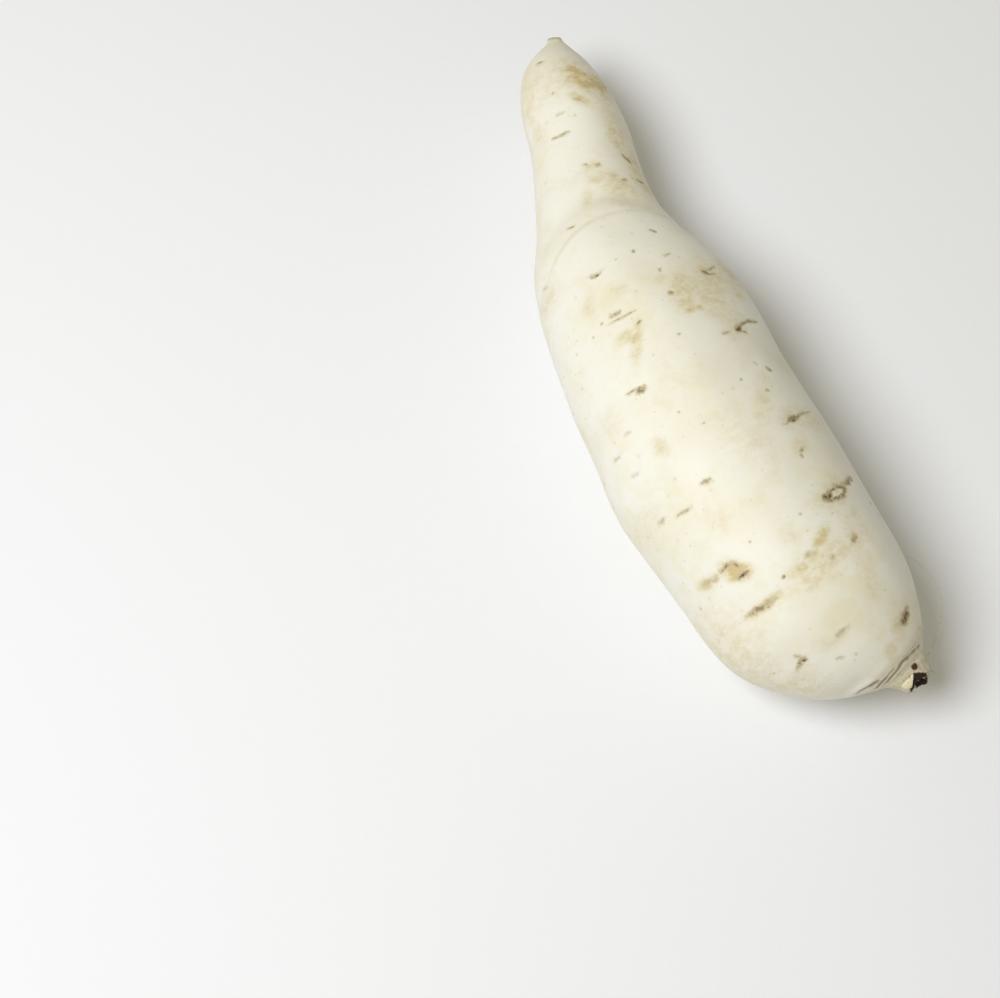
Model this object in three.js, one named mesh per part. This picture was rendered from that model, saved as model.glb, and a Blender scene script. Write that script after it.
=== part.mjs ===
// A white-skinned sweet potato: one storage root with a blunt root end, a narrow leaning neck, a long
// full belly and, off centre on the crown, the short torn stump of the stem that it grew on.
//
// Units are millimetres. +X runs along the belly towards the crown and +Z is up. The root lies on
// its side, on the small flat that its own weight presses into the belly. The origin is on the
// surface that it lies on, under the middle of its bounding box.

import * as THREE from "three";

// Driving dimensions.
const LENGTH = 211.5; // root tip to torn stump, along X
const WIDTH = 60; // across the belly at its widest
const FLATNESS = 0.97; // height of a section as a share of its width
const PRESSED_DEPTH = 1.2; // how far the belly is pressed flat where it lies

// The skin is a grid of rings with this many points each. The rings stand BODY_STEP apart, and
// closer where the shoulder folds over the neck and where the crown wrinkles around the stump.
const RING_POINTS = 48;
const BODY_STEP = 4;
const FOLD_STEP = 2;
const CROWN_STEP = 1.3;

// Oval sections from the root tip to the stump: at in percent of LENGTH, the rest in percent of
// WIDTH. side and height place the middle of the section, from the belly's middle line and from the
// surface below. turn and dip say which way it faces, in degrees towards +Y and downwards.
const SECTIONS = [
  { name: "root scar", at: 0, side: 40.5, height: 44, girth: 0, turn: -26, dip: 0 },
  { name: "scar rim", at: 0.2, side: 40.5, height: 44, girth: 6, turn: -26, dip: 0 },
  { name: "under the scar", at: 1, side: 39.5, height: 44, girth: 9.5, turn: -25, dip: 0 },
  { name: "root tip", at: 2.3, side: 36.8, height: 44, girth: 18.5, turn: -24, dip: 0 },
  { name: "tip swelling", at: 4.5, side: 33, height: 44, girth: 31, turn: -20, dip: 0 },
  { name: "above the neck", at: 9.5, side: 28.5, height: 43.5, girth: 43, turn: -16, dip: 0 },
  { name: "neck", at: 15.5, side: 24.5, height: 43, girth: 47, turn: -15, dip: 0 },
  { name: "below the neck", at: 21.5, side: 17.5, height: 43, girth: 51.5, turn: -16, dip: 0 },
  { name: "waist", at: 27.5, side: 11, height: 43.5, girth: 59.5, turn: -12, dip: 0 },
  { name: "shoulder", at: 32.5, side: 6.5, height: 44.5, girth: 72, turn: -7, dip: 0 },
  { name: "full shoulder", at: 39.5, side: 5, height: 45.8, girth: 85, turn: -5, dip: 0 },
  { name: "upper belly", at: 46.5, side: 3, height: 46.8, girth: 93, turn: -5, dip: 0 },
  { name: "belly", at: 54.5, side: 0, height: 48, girth: 97, turn: -4, dip: 0 },
  { name: "widest", at: 66.5, side: -2, height: 49.2, girth: 100, turn: 0, dip: 0 },
  { name: "lower belly", at: 80, side: 0, height: 48.2, girth: 95, turn: 1, dip: 1 },
  { name: "crown", at: 88, side: 3.5, height: 46.5, girth: 86, turn: 4, dip: 3 },
  { name: "crown end", at: 93, side: 9.5, height: 44, girth: 68, turn: 9, dip: 6 },
  { name: "wrinkled end", at: 96, side: 17, height: 42.5, girth: 46, turn: 14, dip: 9 },
  { name: "stump collar", at: 97.4, side: 22, height: 42.5, girth: 29, turn: 18, dip: 12 },
  { name: "stump foot", at: 98.1, side: 24, height: 42.5, girth: 21.5, turn: 20, dip: 14 },
  { name: "stump", at: 99.1, side: 25.5, height: 42, girth: 17, turn: 22, dip: 15 },
  { name: "torn rim", at: 100, side: 26.5, height: 41.5, girth: 14.5, turn: 22, dip: 15 },
  { name: "inside the rim", at: 99.7, side: 26.5, height: 41.5, girth: 9, turn: 22, dip: 15 },
  { name: "pith", at: 98.8, side: 26, height: 41.5, girth: 0, turn: 22, dip: 15 },
];

// Soft swellings, and hollows where rise is negative. along is measured over the skin from the root
// tip, around in degrees from the +Y side over the top, and length and breadth are how far it spreads.
const SWELLINGS = [
  { name: "left of the crown", along: 196, around: 178, length: 13, breadth: 30, rise: 1.2 },
  { name: "dent in the left flank", along: 165, around: 182, length: 13, breadth: 28, rise: -0.6 },
  { name: "left flank", along: 146, around: 176, length: 10, breadth: 30, rise: 0.4 },
  { name: "dent under the shoulder", along: 128, around: 184, length: 11, breadth: 30, rise: -0.6 },
  { name: "right of the shoulder", along: 104, around: 20, length: 20, breadth: 30, rise: 0.8 },
  { name: "right flank", along: 190, around: 330, length: 16, breadth: 26, rise: -1.3 },
  { name: "belly ridge", along: 150, around: 305, length: 26, breadth: 18, rise: 1.2 },
  { name: "dent beside the ridge", along: 128, around: 334, length: 15, breadth: 16, rise: -1.1 },
  { name: "neck underside", along: 52, around: 262, length: 15, breadth: 36, rise: -1.2 },
  { name: "knuckle under the tip", along: 24, around: 290, length: 8, breadth: 34, rise: 0.9 },
  { name: "top of the neck", along: 40, around: 100, length: 14, breadth: 40, rise: 0.5 },
  { name: "saddle over the crown", along: 205, around: 96, length: 12, breadth: 34, rise: -0.7 },
];

// Furrows that ring the crown around the stump, each deepest at one side and fading around it.
const CROWN_FURROWS = [
  { name: "inner furrow", along: 226.5, around: 100, length: 1.3, breadth: 90, rise: -0.9 },
  { name: "middle furrow", along: 222.5, around: 110, length: 1.4, breadth: 60, rise: -0.7 },
  { name: "outer furrow", along: 218, around: 150, length: 1.6, breadth: 30, rise: -0.7 },
  { name: "lower furrow", along: 220, around: 290, length: 1.7, breadth: 60, rise: -0.8 },
];

// The fold where the shoulder bulges over the neck. It arches across the top, nearest the root tip
// at FOLD.around, and sweeps back towards the belly by up to FOLD.sweep on both sides.
const FOLD = { along: 66, around: 100, sweep: 19, depth: 0.9, neckSide: 5, bellySide: 2, breadth: 70 };

const skin = new THREE.MeshStandardMaterial({
  name: "cream skin",
  color: new THREE.Color(0.86, 0.82, 0.68),
  roughness: 0.5,
  metalness: 0,
});

/** A section's sizes in millimetres and its angles in radians. */
function inMillimetres(section) {
  return {
    x: (section.at / 100) * LENGTH,
    y: (section.side / 100) * WIDTH,
    z: (section.height / 100) * WIDTH - PRESSED_DEPTH,
    radius: (section.girth / 200) * WIDTH,
    turn: THREE.MathUtils.degToRad(section.turn),
    dip: THREE.MathUtils.degToRad(section.dip),
  };
}

/** Distance over the skin from the root tip to each section. */
function distancesOverSkin(sections) {
  const distances = [0];
  for (let i = 1; i < sections.length; i += 1) {
    const before = sections[i - 1];
    const here = sections[i];
    const step = Math.hypot(here.x - before.x, here.y - before.y, here.radius - before.radius);
    distances.push(distances[i - 1] + step);
  }
  return distances;
}

/** Slope of one value at a section, from the sections on both sides of it. */
function slopeAt(sections, distances, index, key) {
  const before = Math.max(index - 1, 0);
  const after = Math.min(index + 1, sections.length - 1);
  return (sections[after][key] - sections[before][key]) / (distances[after] - distances[before]);
}

/** The section at any distance over the skin, on a smooth cubic through the given ones. */
function sectionAt(sections, distances, along) {
  let i = 0;
  while (i < sections.length - 2 && distances[i + 1] < along) {
    i += 1;
  }
  const gap = distances[i + 1] - distances[i];
  const t = (along - distances[i]) / gap;
  const blended = { along };
  for (const key of Object.keys(sections[i])) {
    const start = sections[i][key];
    const end = sections[i + 1][key];
    const startSlope = slopeAt(sections, distances, i, key) * gap;
    const endSlope = slopeAt(sections, distances, i + 1, key) * gap;
    const bend = 3 * (end - start) - 2 * startSlope - endSlope;
    const twist = startSlope + endSlope - 2 * (end - start);
    blended[key] = start + t * (startSlope + t * (bend + t * twist));
  }
  return blended;
}

/** Signed difference between two angles in degrees, from -180 to 180. */
function angleBetween(angle, from) {
  return THREE.MathUtils.euclideanModulo(angle - from + 180, 360) - 180;
}

/** How far one swelling or furrow lifts the skin at a place. */
function lift({ along, around, length, breadth, rise }, placeAlong, placeAround) {
  const down = (placeAlong - along) / length;
  const across = angleBetween(placeAround, around) / breadth;
  return rise * Math.exp(-down * down - across * across);
}

/** How far the shoulder's fold sinks the skin at a place: steep on the belly's side of the fold. */
function foldDepth(placeAlong, placeAround) {
  const off = angleBetween(placeAround, FOLD.around);
  const line = FOLD.along + FOLD.sweep * (1 - Math.cos(THREE.MathUtils.degToRad(off)));
  const spread = placeAlong < line ? FOLD.neckSide : FOLD.bellySide;
  const down = (placeAlong - line) / spread;
  const across = off / FOLD.breadth;
  return FOLD.depth * Math.exp(-down * down - across * across);
}

/** The point of the skin on a section, at an angle in degrees from its +Y side over the top. */
function skinPoint(section, around) {
  const { x, y, z, radius, turn, dip, along } = section;
  const sideways = new THREE.Vector3(-Math.sin(turn), Math.cos(turn), 0);
  const forward = new THREE.Vector3(
    Math.cos(turn) * Math.cos(dip),
    Math.sin(turn) * Math.cos(dip),
    -Math.sin(dip),
  );
  const upwards = forward.cross(sideways);
  const relief = [...SWELLINGS, ...CROWN_FURROWS].reduce((sum, r) => sum + lift(r, along, around), 0);
  const reach = radius + (relief - foldDepth(along, around)) * Math.min(1, radius / 8);
  const angle = THREE.MathUtils.degToRad(around);
  const point = new THREE.Vector3(x, y, z)
    .addScaledVector(sideways, reach * Math.cos(angle))
    .addScaledVector(upwards, reach * FLATNESS * Math.sin(angle));
  point.z = Math.max(point.z, 0);
  return point;
}

/** Step to the next ring at a distance over the skin. */
function stepAt(along, total) {
  if (total - along < 32) {
    return CROWN_STEP;
  }
  const inFold = along > FOLD.along - 10 && along < FOLD.along + 16;
  return inFold ? FOLD_STEP : BODY_STEP;
}

/** Distances over the skin at which the rings stand, without the two poles. */
function ringDistances(total) {
  const distances = [0.3, 1, 2, 3.5, 6];
  while (distances.at(-1) + stepAt(distances.at(-1), total) < total) {
    distances.push(distances.at(-1) + stepAt(distances.at(-1), total));
  }
  return distances;
}

/** Triangles of a closed skin: a pole, rings from tip to stump, and a pole. */
function skinTriangles(ringCount) {
  const corner = (ring, i) => 1 + ring * RING_POINTS + (i % RING_POINTS);
  const firstPole = 0;
  const lastPole = 1 + ringCount * RING_POINTS;
  const triangles = [];
  for (let i = 0; i < RING_POINTS; i += 1) {
    triangles.push(firstPole, corner(0, i + 1), corner(0, i));
    triangles.push(lastPole, corner(ringCount - 1, i), corner(ringCount - 1, i + 1));
    for (let ring = 0; ring < ringCount - 1; ring += 1) {
      triangles.push(corner(ring, i), corner(ring, i + 1), corner(ring + 1, i));
      triangles.push(corner(ring, i + 1), corner(ring + 1, i + 1), corner(ring + 1, i));
    }
  }
  return triangles;
}

/** The whole root's skin, closed, with its origin under the middle of its bounding box. */
function rootGeometry() {
  const sections = SECTIONS.map(inMillimetres);
  const distances = distancesOverSkin(sections);
  const total = distances.at(-1);
  const rings = ringDistances(total).map((along) => sectionAt(sections, distances, along));
  const points = rings.flatMap((ring) =>
    Array.from({ length: RING_POINTS }, (_, i) => skinPoint(ring, (360 * i) / RING_POINTS)),
  );
  const tip = sections.at(0);
  const pith = sections.at(-1);
  points.unshift(new THREE.Vector3(tip.x, tip.y, tip.z));
  points.push(new THREE.Vector3(pith.x, pith.y, pith.z));
  const geometry = new THREE.BufferGeometry().setFromPoints(points);
  geometry.setIndex(skinTriangles(rings.length));
  geometry.computeBoundingBox();
  const middle = geometry.boundingBox.getCenter(new THREE.Vector3());
  geometry.translate(-middle.x, -middle.y, 0);
  geometry.computeVertexNormals();
  return geometry;
}

const root = new THREE.Mesh(rootGeometry(), skin);
root.name = "sweet_potato";

const whiteSweetPotato = new THREE.Group();
whiteSweetPotato.add(root);
export default whiteSweetPotato;
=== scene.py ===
"""Looks of a white-skinned sweet potato lying on a pale floor.

The root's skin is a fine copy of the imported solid, with its pores, root scars, crown furrows and
torn stump worked into the mesh and into one procedural finish. Lengths are in millimetres unless a
name says otherwise, and are turned into metres where they meet Blender. Places on the root are
given by x, its distance from the middle of the root along X, and by around, the angle in degrees
around the root's middle line from its +Y side over the top.
"""

import logging
import math
import random
from collections.abc import Callable, Iterator
from contextlib import contextmanager
from dataclasses import dataclass, field
from enum import Enum
from functools import reduce

import bpy
import numpy as np
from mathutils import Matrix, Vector, noise
from mathutils.bvhtree import BVHTree

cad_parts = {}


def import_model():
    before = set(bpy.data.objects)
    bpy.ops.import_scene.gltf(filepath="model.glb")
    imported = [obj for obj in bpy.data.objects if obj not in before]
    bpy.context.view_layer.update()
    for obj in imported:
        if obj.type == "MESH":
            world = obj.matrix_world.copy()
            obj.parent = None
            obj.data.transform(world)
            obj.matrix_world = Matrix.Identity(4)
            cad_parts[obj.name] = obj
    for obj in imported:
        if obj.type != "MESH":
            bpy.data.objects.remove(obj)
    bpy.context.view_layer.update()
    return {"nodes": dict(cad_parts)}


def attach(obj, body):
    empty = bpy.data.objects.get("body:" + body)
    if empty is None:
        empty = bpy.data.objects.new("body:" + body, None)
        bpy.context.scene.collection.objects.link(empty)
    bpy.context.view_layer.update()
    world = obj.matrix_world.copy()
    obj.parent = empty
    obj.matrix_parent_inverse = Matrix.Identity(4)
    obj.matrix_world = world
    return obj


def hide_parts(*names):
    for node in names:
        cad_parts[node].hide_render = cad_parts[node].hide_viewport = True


LOG = logging.getLogger("sweet_potato")
MM = 0.001  # one millimetre in metres
BODY = "root"
NODE = "sweet_potato"

Socket = bpy.types.NodeSocket
Colour = tuple[float, float, float]


# ------------------------------------------------------------------ marks on the skin


class MarkKind(Enum):
    """Sorts of blemish that the skin of a dug root carries."""

    SLIT = "a cracked pore that runs around the root"
    SPOT = "a small round pore"
    CORK = "a rough corky scar where a side root broke off"
    RING = "a corky ring with a pale middle"
    PIT = "a healed oval pit with an even edge"


@dataclass(frozen=True)
class MarkLook:
    """How a kind of mark looks.

    Attributes:
        halo: strength of the tan skin around it.
        ring: how far its middle stays pale.
        cork: share of rough light-brown cork rather than dark crack.
        depth: how far the finish sinks its core, in millimetres.
        rag: how ragged its edge is.
        ink: how strong its colour is.
    """

    halo: float
    ring: float
    cork: float
    depth: float
    rag: float
    ink: float = 1.0


MARK_LOOKS = {
    MarkKind.SLIT: MarkLook(halo=0.7, ring=0.0, cork=0.1, depth=0.08, rag=0.6),
    MarkKind.SPOT: MarkLook(halo=0.35, ring=0.0, cork=0.0, depth=0.03, rag=0.4, ink=1.1),
    MarkKind.CORK: MarkLook(halo=1.0, ring=0.0, cork=0.9, depth=0.04, rag=0.8, ink=1.1),
    MarkKind.RING: MarkLook(halo=0.9, ring=1.0, cork=0.1, depth=0.1, rag=0.42, ink=1.3),
    MarkKind.PIT: MarkLook(halo=0.9, ring=0.0, cork=0.0, depth=0.12, rag=0.28),
}


@dataclass(frozen=True)
class Mark:
    """One mark on the skin.

    Attributes:
        x: distance of its middle from the middle of the root.
        around: angle of its middle.
        length: its length in millimetres.
        width: its width in millimetres.
        turn: angle by which it is turned from the way around, in degrees.
        kind: what sort of mark it is.
        dark: how dark it is.
        bow: how far it is bent.
        heavy: which end is the darker one, 1 for the one further around and -1 for the other.
    """

    x: float
    around: float
    length: float
    width: float
    turn: float = 0.0
    kind: MarkKind = MarkKind.SLIT
    dark: float = 0.6
    bow: float = 0.0
    heavy: float = 0.0

    @property
    def half_length(self) -> float:
        """Half of the mark's length."""
        return self.length / 2

    @property
    def half_width(self) -> float:
        """Half of the mark's width."""
        return self.width / 2


@dataclass(frozen=True)
class Stain:
    """A soft tan patch of skin with no edge.

    Attributes:
        x: distance of its middle from the middle of the root.
        around: angle of its middle.
        length: its length in millimetres.
        width: its width in millimetres.
        turn: angle by which it is turned from the way around, in degrees.
        strength: how strongly it colours the skin.
    """

    x: float
    around: float
    length: float
    width: float
    turn: float
    strength: float


def spot(x: float, around: float, width: float = 0.7, dark: float = 0.5) -> Mark:
    """A round pore.

    Args:
        x: distance of its middle from the middle of the root.
        around: angle of its middle.
        width: its width in millimetres.
        dark: how dark it is.

    Returns:
        The pore, drawn larger and paler than it is named, because its edge is soft.
    """
    return Mark(x, around, 1.8 * width, 1.6 * width, 0, MarkKind.SPOT, 0.75 * dark)


SLITS = [
    Mark(-97.3, 114, 2.6, 1.0, 4, dark=0.75),
    Mark(-82.9, 65.8, 4.0, 0.8, -10, dark=0.6),
    Mark(-79.2, 84.7, 4.7, 0.8, 56, dark=0.35),
    Mark(-78, 112, 2.6, 0.5, 10, dark=0.45),
    Mark(-72, 116.5, 7.4, 1.2, 18, dark=0.6, bow=0.03, heavy=0.4),
    Mark(-51, 57, 2.8, 0.8, 8, dark=0.6),
    Mark(-50.2, 36, 3.4, 1.3, 23, dark=0.8),
    Mark(-43.6, 118.5, 3.0, 0.8, 16, dark=0.75, heavy=-0.7),
    Mark(-34, 157, 3.8, 0.45, 19, dark=0.35),
    Mark(-21, 70, 3.0, 0.45, -10, dark=0.55),
    Mark(-13.7, 46.4, 6.1, 0.8, -19, dark=0.7),
    Mark(-12.1, 48.5, 3.0, 0.8, 17, dark=0.7),
    Mark(-11.6, 116.2, 4.3, 1.2, 11, dark=0.85, heavy=-1),
    Mark(-9.8, 114, 10.6, 0.7, 7, dark=0.65, bow=0.008, heavy=-0.7),
    Mark(-5.7, 106.3, 2.0, 0.9, -16, dark=0.8),
    Mark(5.2, 49, 4.8, 1.1, -21, dark=1.15),
    Mark(4.6, 39, 7.5, 1.1, -1, dark=0.95),
    Mark(7.2, 64, 3.8, 0.9, 0, dark=0.65),
    Mark(7.8, 51, 2.6, 1.0, 23, dark=0.9),
    Mark(18, 139, 2.4, 0.45, 9, dark=0.4),
    Mark(21, 153, 3.8, 0.5, 10, dark=0.45),
    Mark(28, 147, 3.6, 0.45, 10, dark=0.3),
    Mark(35.5, 51, 15, 1.1, -12, dark=0.85, bow=-0.006),
    Mark(41.4, 115.6, 3.4, 1.5, 10, dark=0.6),
    Mark(44.2, 134.1, 6.4, 1.1, 5, dark=0.6),
    Mark(42.2, 148.0, 4.6, 1.4, 6, dark=0.45),
    Mark(9.6, 126.2, 4.6, 0.85, 8, dark=0.7, heavy=1),
    Mark(45, 63, 2.4, 0.85, -31, dark=0.6),
    Mark(55.9, 43.5, 9.4, 1.9, -17, dark=0.8, heavy=-0.7),
    Mark(61.9, 145.9, 8.6, 1.7, 9, dark=0.5),
    Mark(65.8, 127.2, 4.8, 1.2, -1, dark=1.35),
    Mark(75, 127, 12.2, 1.9, 0, dark=0.75, bow=0.012, heavy=1.1),
    Mark(94, 115.5, 2.6, 0.6, 30, dark=0.5),
]

SCARS = [
    Mark(-58, 42, 4.2, 1.7, 54, MarkKind.PIT, 0.85),
    Mark(-24.9, 116.4, 4.8, 1.3, 12, MarkKind.CORK, 1.15, bow=0.12),
    Mark(-30.7, 65.2, 3.2, 1.2, 52, MarkKind.SPOT, 0.55, heavy=-0.8),
    Mark(-12.6, 52.2, 3.4, 1.5, 30, MarkKind.PIT, 0.95),
    Mark(-59.7, 94, 1.6, 1.2, 20, MarkKind.SPOT, 0.5),
    Mark(6.6, 54, 3.8, 2.1, -26, MarkKind.PIT, 1.4),
    Mark(10.7, 121.3, 3.8, 2.0, 4, MarkKind.PIT, 1.0, heavy=-0.6),
    Mark(36, 55.0, 4.8, 1.9, -12, MarkKind.PIT, 1.25),
    Mark(71, 62, 3.2, 1.6, -31, MarkKind.PIT, 0.8),
    Mark(92.2, 46.5, 6.4, 3.6, -43, MarkKind.PIT, 1.1),
    Mark(58.3, 57.4, 9.8, 3.5, -14, MarkKind.RING, 1.35),
    Mark(58.6, 64.0, 4.6, 2.2, -18, MarkKind.PIT, 1.3),
    Mark(62.8, 127.2, 3.0, 0.8, 72, MarkKind.CORK, 0.75),
    Mark(61.9, 131.8, 5.2, 1.7, 6, MarkKind.CORK, 1.15, bow=-0.04),
    Mark(70, 91, 2.3, 1.4, 20, MarkKind.CORK, 0.45),
    Mark(73, 79, 1.8, 1.2, -10, MarkKind.CORK, 0.6),
    Mark(89.5, 100, 4.4, 1.5, -8, MarkKind.CORK, 0.8, bow=0.1),
    Mark(90, 139, 7.0, 1.8, -16, MarkKind.CORK, 1.3),
    Mark(89, 135.5, 3.0, 1.0, 75, MarkKind.CORK, 1.0),
]

SPOTS = [
    spot(-85, 109),
    spot(-75, 95, 0.5, 0.4),
    spot(-78.5, 130, 0.5, 0.4),
    spot(-58, 80.5, 0.9, 0.6),
    spot(-53, 66, 0.6, 0.5),
    spot(-38, 96, 0.5, 0.45),
    spot(-31, 64, 0.5, 0.4),
    spot(-32, 80, 0.45, 0.4),
    spot(-44, 150, 0.4, 0.35),
    spot(-26, 88, 0.9, 0.8),
    spot(-26, 100, 0.5, 0.5),
    spot(-17, 81, 0.9, 0.8),
    spot(-13, 75, 0.5, 0.5),
    spot(-9, 83, 1.2, 0.9),
    spot(-10, 133, 0.5, 0.5),
    spot(-11.5, 125, 0.7, 0.6),
    spot(3, 91, 0.6, 0.55),
    spot(-10, 148, 0.5, 0.4),
    spot(-9.5, 169, 0.45, 0.4),
    spot(-1.5, 155, 0.5, 0.4),
    spot(20.4, 50.6, 1.2, 1.0),
    spot(18, 57, 0.8, 0.5),
    spot(21.5, 72, 0.7, 0.6),
    spot(26.7, 60.8, 0.9, 0.7),
    spot(46.4, 65, 1.0, 0.6),
    spot(22, 109, 0.5, 0.5),
    spot(28, 101, 0.5, 0.5),
    spot(25, 139, 0.5, 0.4),
    spot(36, 128, 0.5, 0.4),
    spot(21, 179, 0.8, 0.5),
    spot(28, 181, 0.7, 0.5),
    spot(62, 28, 0.8, 0.6),
    spot(60, 84, 0.8, 0.7),
    spot(63, 67, 0.6, 0.5),
    spot(42, 164, 0.5, 0.4),
    spot(60, 114, 0.5, 0.45),
    spot(43, 148, 0.5, 0.4),
    spot(71.7, 109.0, 0.65, 1.05),
    spot(65, 163, 0.6, 0.5),
    spot(76, 180, 0.7, 0.5),
    spot(95, 107.5, 0.7, 0.45),
    spot(88, 160, 0.5, 0.5),
    spot(93, 154, 0.6, 0.5),
    spot(-1, 180, 0.6, 0.5),
]

STAINS = [
    Stain(-88.9, 70, 7, 5, 62, 1.6),
    Stain(-84.3, 62, 9, 8, 48, 2.1),
    Stain(-81.1, 86.8, 5, 2, 47, 0.9),
    Stain(-86, 66, 18, 11, 70, 1.1),
    Stain(-83, 44, 8, 8, 80, 1.9),
    Stain(-79, 83, 7, 3, 58, 1.3),
    Stain(-83.6, 40, 4.5, 4.0, 72, 2.2),
    Stain(-96, 100, 12, 9, 0, 0.3),
    Stain(-91, 138, 22, 16, 0, 0.5),
    Stain(-62, 60, 13, 7, 0, 0.15),
    Stain(-67, 50, 17, 7, -80, 0.8),
    Stain(-84, 152, 6, 4, 80, 0.6),
    Stain(-78, 148, 9, 5, 80, 0.5),
    Stain(-49, 63, 14, 8, 73, 0.8),
    Stain(-58, 85, 6, 3, 29, 0.8),
    Stain(-54, 87, 5, 3, 56, 0.7),
    Stain(-56, 84, 9, 5, 20, 0.5),
    Stain(-48, 30, 6, 4.5, 20, 0.9),
    Stain(-50, 44, 5, 2.6, 68, 0.7),
    Stain(-50, 98, 8, 3.0, -64, 0.6),
    Stain(-43, 68, 14, 6, 50, 0.35),
    Stain(-43, 58, 14, 9, 0, 0.35),
    Stain(-56.4, 34, 10, 7, -82, 0.8),
    Stain(-4.6, 39, 6, 5, -79, 0.9),
    Stain(-10.7, 48.7, 14, 11, 74, 0.7),
    Stain(81.7, 66, 12, 6, 80, 0.4),
    Stain(66.5, 56, 14, 8, 70, 0.5),
    Stain(-5, 60, 20, 13, 77, 0.7),
    Stain(1.6, 54, 13, 9, 80, 0.5),
    Stain(-2.6, 78.4, 3.0, 2.2, 20, 1.8),
    Stain(-2.2, 71.7, 2.8, 2.0, 20, 1.3),
    Stain(37, 86, 26, 12, 74, 0.3),
    Stain(-8, 76, 14, 8, -60, 0.85),
    Stain(-14, 84, 6, 4, 0, 0.3),
    Stain(-12, 50, 18, 12, 0, 0.4),
    Stain(-17, 107, 4.0, 3.2, 0, 0.5),
    Stain(-17.6, 128, 8, 4, -77, 0.4),
    Stain(-12, 31, 12, 12, 80, 0.7),
    Stain(-4.2, 115.5, 7, 3.4, 8, 0.9),
    Stain(-1.1, 113, 10.5, 3.2, -60, 1.1),
    Stain(8, 58, 12, 7, 0, 0.3),
    Stain(5.7, 54.5, 7, 6, 80, 0.9),
    Stain(30, 68, 18, 6, -52, 0.5),
    Stain(36, 50, 16, 8, 0, 0.5),
    Stain(27, 126, 6, 4, 80, 0.7),
    Stain(74, 64, 17, 7, 87, 0.35),
    Stain(44, 62, 6, 4, 0, 0.6),
    Stain(67.8, 80.5, 9, 3.2, -34, 1.2),
    Stain(71, 89.5, 5, 3.2, -23, 1.8),
    Stain(72.2, 99, 8, 3.2, -8, 1.1),
    Stain(74, 88, 22, 9, -16, 0.7),
    Stain(63, 95, 6, 6, 0, 0.4),
    Stain(79, 147, 14, 7, 0, 0.35),
    # These two patches are painted warm shade along the lower-left flank near the crown, not stains of the
    # skin.
    Stain(80, 168, 34, 22, 90, 0.55),
    Stain(93, 170, 22, 16, 60, 0.6),
    Stain(64.0, 129.0, 8.3, 4.8, 40, 2.3),
    Stain(75, 127.3, 13.0, 2.9, 0, 1.7),
    Stain(61.9, 145.4, 9.5, 3.0, 9, 1.3),
    Stain(58, 60, 14, 8, -12, 0.6),
    Stain(70, 62, 8, 6, 87, 0.6),
    Stain(93, 57, 10, 6, 80, 0.7),
    Stain(92, 51, 10, 6, -46, 0.5),
    Stain(93, 78, 7, 5, 60, 0.2),
    Stain(98, 70, 5.4, 4.0, 70, 0.8),
    Stain(90, 112, 8, 5, 0, 0.35),
    Stain(52, 118, 10, 8, 0, 0.3),
    Stain(-30, 160, 14, 8, 0, 0.5),
    Stain(40, 160, 18, 10, 0, 0.35),
    Stain(12, 150, 14, 8, 0, 0.3),
]


@dataclass(frozen=True)
class HiddenSides:
    """Marks for the flanks, the back and the underside, drawn by chance in the same style.

    Side roots grow in rows along a sweet potato, so most scars keep to a few lines along it.

    Attributes:
        seed: what the chances start from.
        rows: angle of each line of scars.
        row_spread: how far scars stray from their line, in degrees.
        reach: lowest and highest x of a mark.
        clear_of_front: angles that the front lies between, which marks outside the rows avoid.
        slits: number of slits.
        scars: number of scars.
        spots: number of pores.
        stains: number of tan patches.
    """

    seed: int = 11
    rows: tuple[float, ...] = (205, 238, 276, 310, 342)
    row_spread: float = 9
    reach: tuple[float, float] = (-94, 92)
    clear_of_front: tuple[float, float] = (16, 190)
    slits: int = 46
    scars: int = 13
    spots: int = 70
    stains: int = 15

    def _place(self, dice: random.Random, in_row: bool) -> tuple[float, float]:
        """A place on the hidden sides, near one of the rows or anywhere, as x and around."""
        x = dice.uniform(*self.reach)
        if in_row:
            return x, dice.choice(self.rows) + dice.gauss(0, self.row_spread)
        front_start, front_end = self.clear_of_front
        return x, dice.uniform(front_end, front_start + 360)

    def marks(self) -> list[Mark]:
        """Slits, scars and spots for the hidden sides."""
        dice = random.Random(self.seed)
        found = []
        for _ in range(self.scars):
            kind = dice.choice((MarkKind.CORK, MarkKind.CORK, MarkKind.RING))
            length = dice.uniform(3.0, 8.0)
            width = length * dice.uniform(0.3, 0.55)
            place = self._place(dice, in_row=True)
            turn = dice.uniform(-25, 25)
            found.append(Mark(*place, length, width, turn, kind, dice.uniform(0.5, 0.9)))
        for _ in range(self.slits):
            length = 2.0 + 9.0 * dice.random() ** 2
            width = dice.uniform(0.4, 0.7) + 0.03 * length
            place = self._place(dice, in_row=dice.random() < 0.65)
            bow = dice.uniform(-0.03, 0.03)
            heavy = dice.uniform(-1, 1)
            dark = dice.uniform(0.35, 0.9)
            turn = dice.gauss(0, 12)
            found.append(Mark(*place, length, width, turn, dark=dark, bow=bow, heavy=heavy))
        for _ in range(self.spots):
            place = self._place(dice, in_row=False)
            found.append(spot(*place, dice.uniform(0.4, 1.0), dice.uniform(0.35, 0.8)))
        return found

    def soft_patches(self) -> list[Stain]:
        """Tan patches for the hidden sides."""
        dice = random.Random(self.seed + 1)
        found = []
        for _ in range(self.stains):
            x, around = self._place(dice, in_row=False)
            length = dice.uniform(6, 20)
            width = length * dice.uniform(0.3, 0.6)
            found.append(Stain(x, around, length, width, dice.uniform(-60, 60), dice.uniform(0.3, 0.6)))
        return found


# ------------------------------------------------------------------ places on the root


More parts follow.
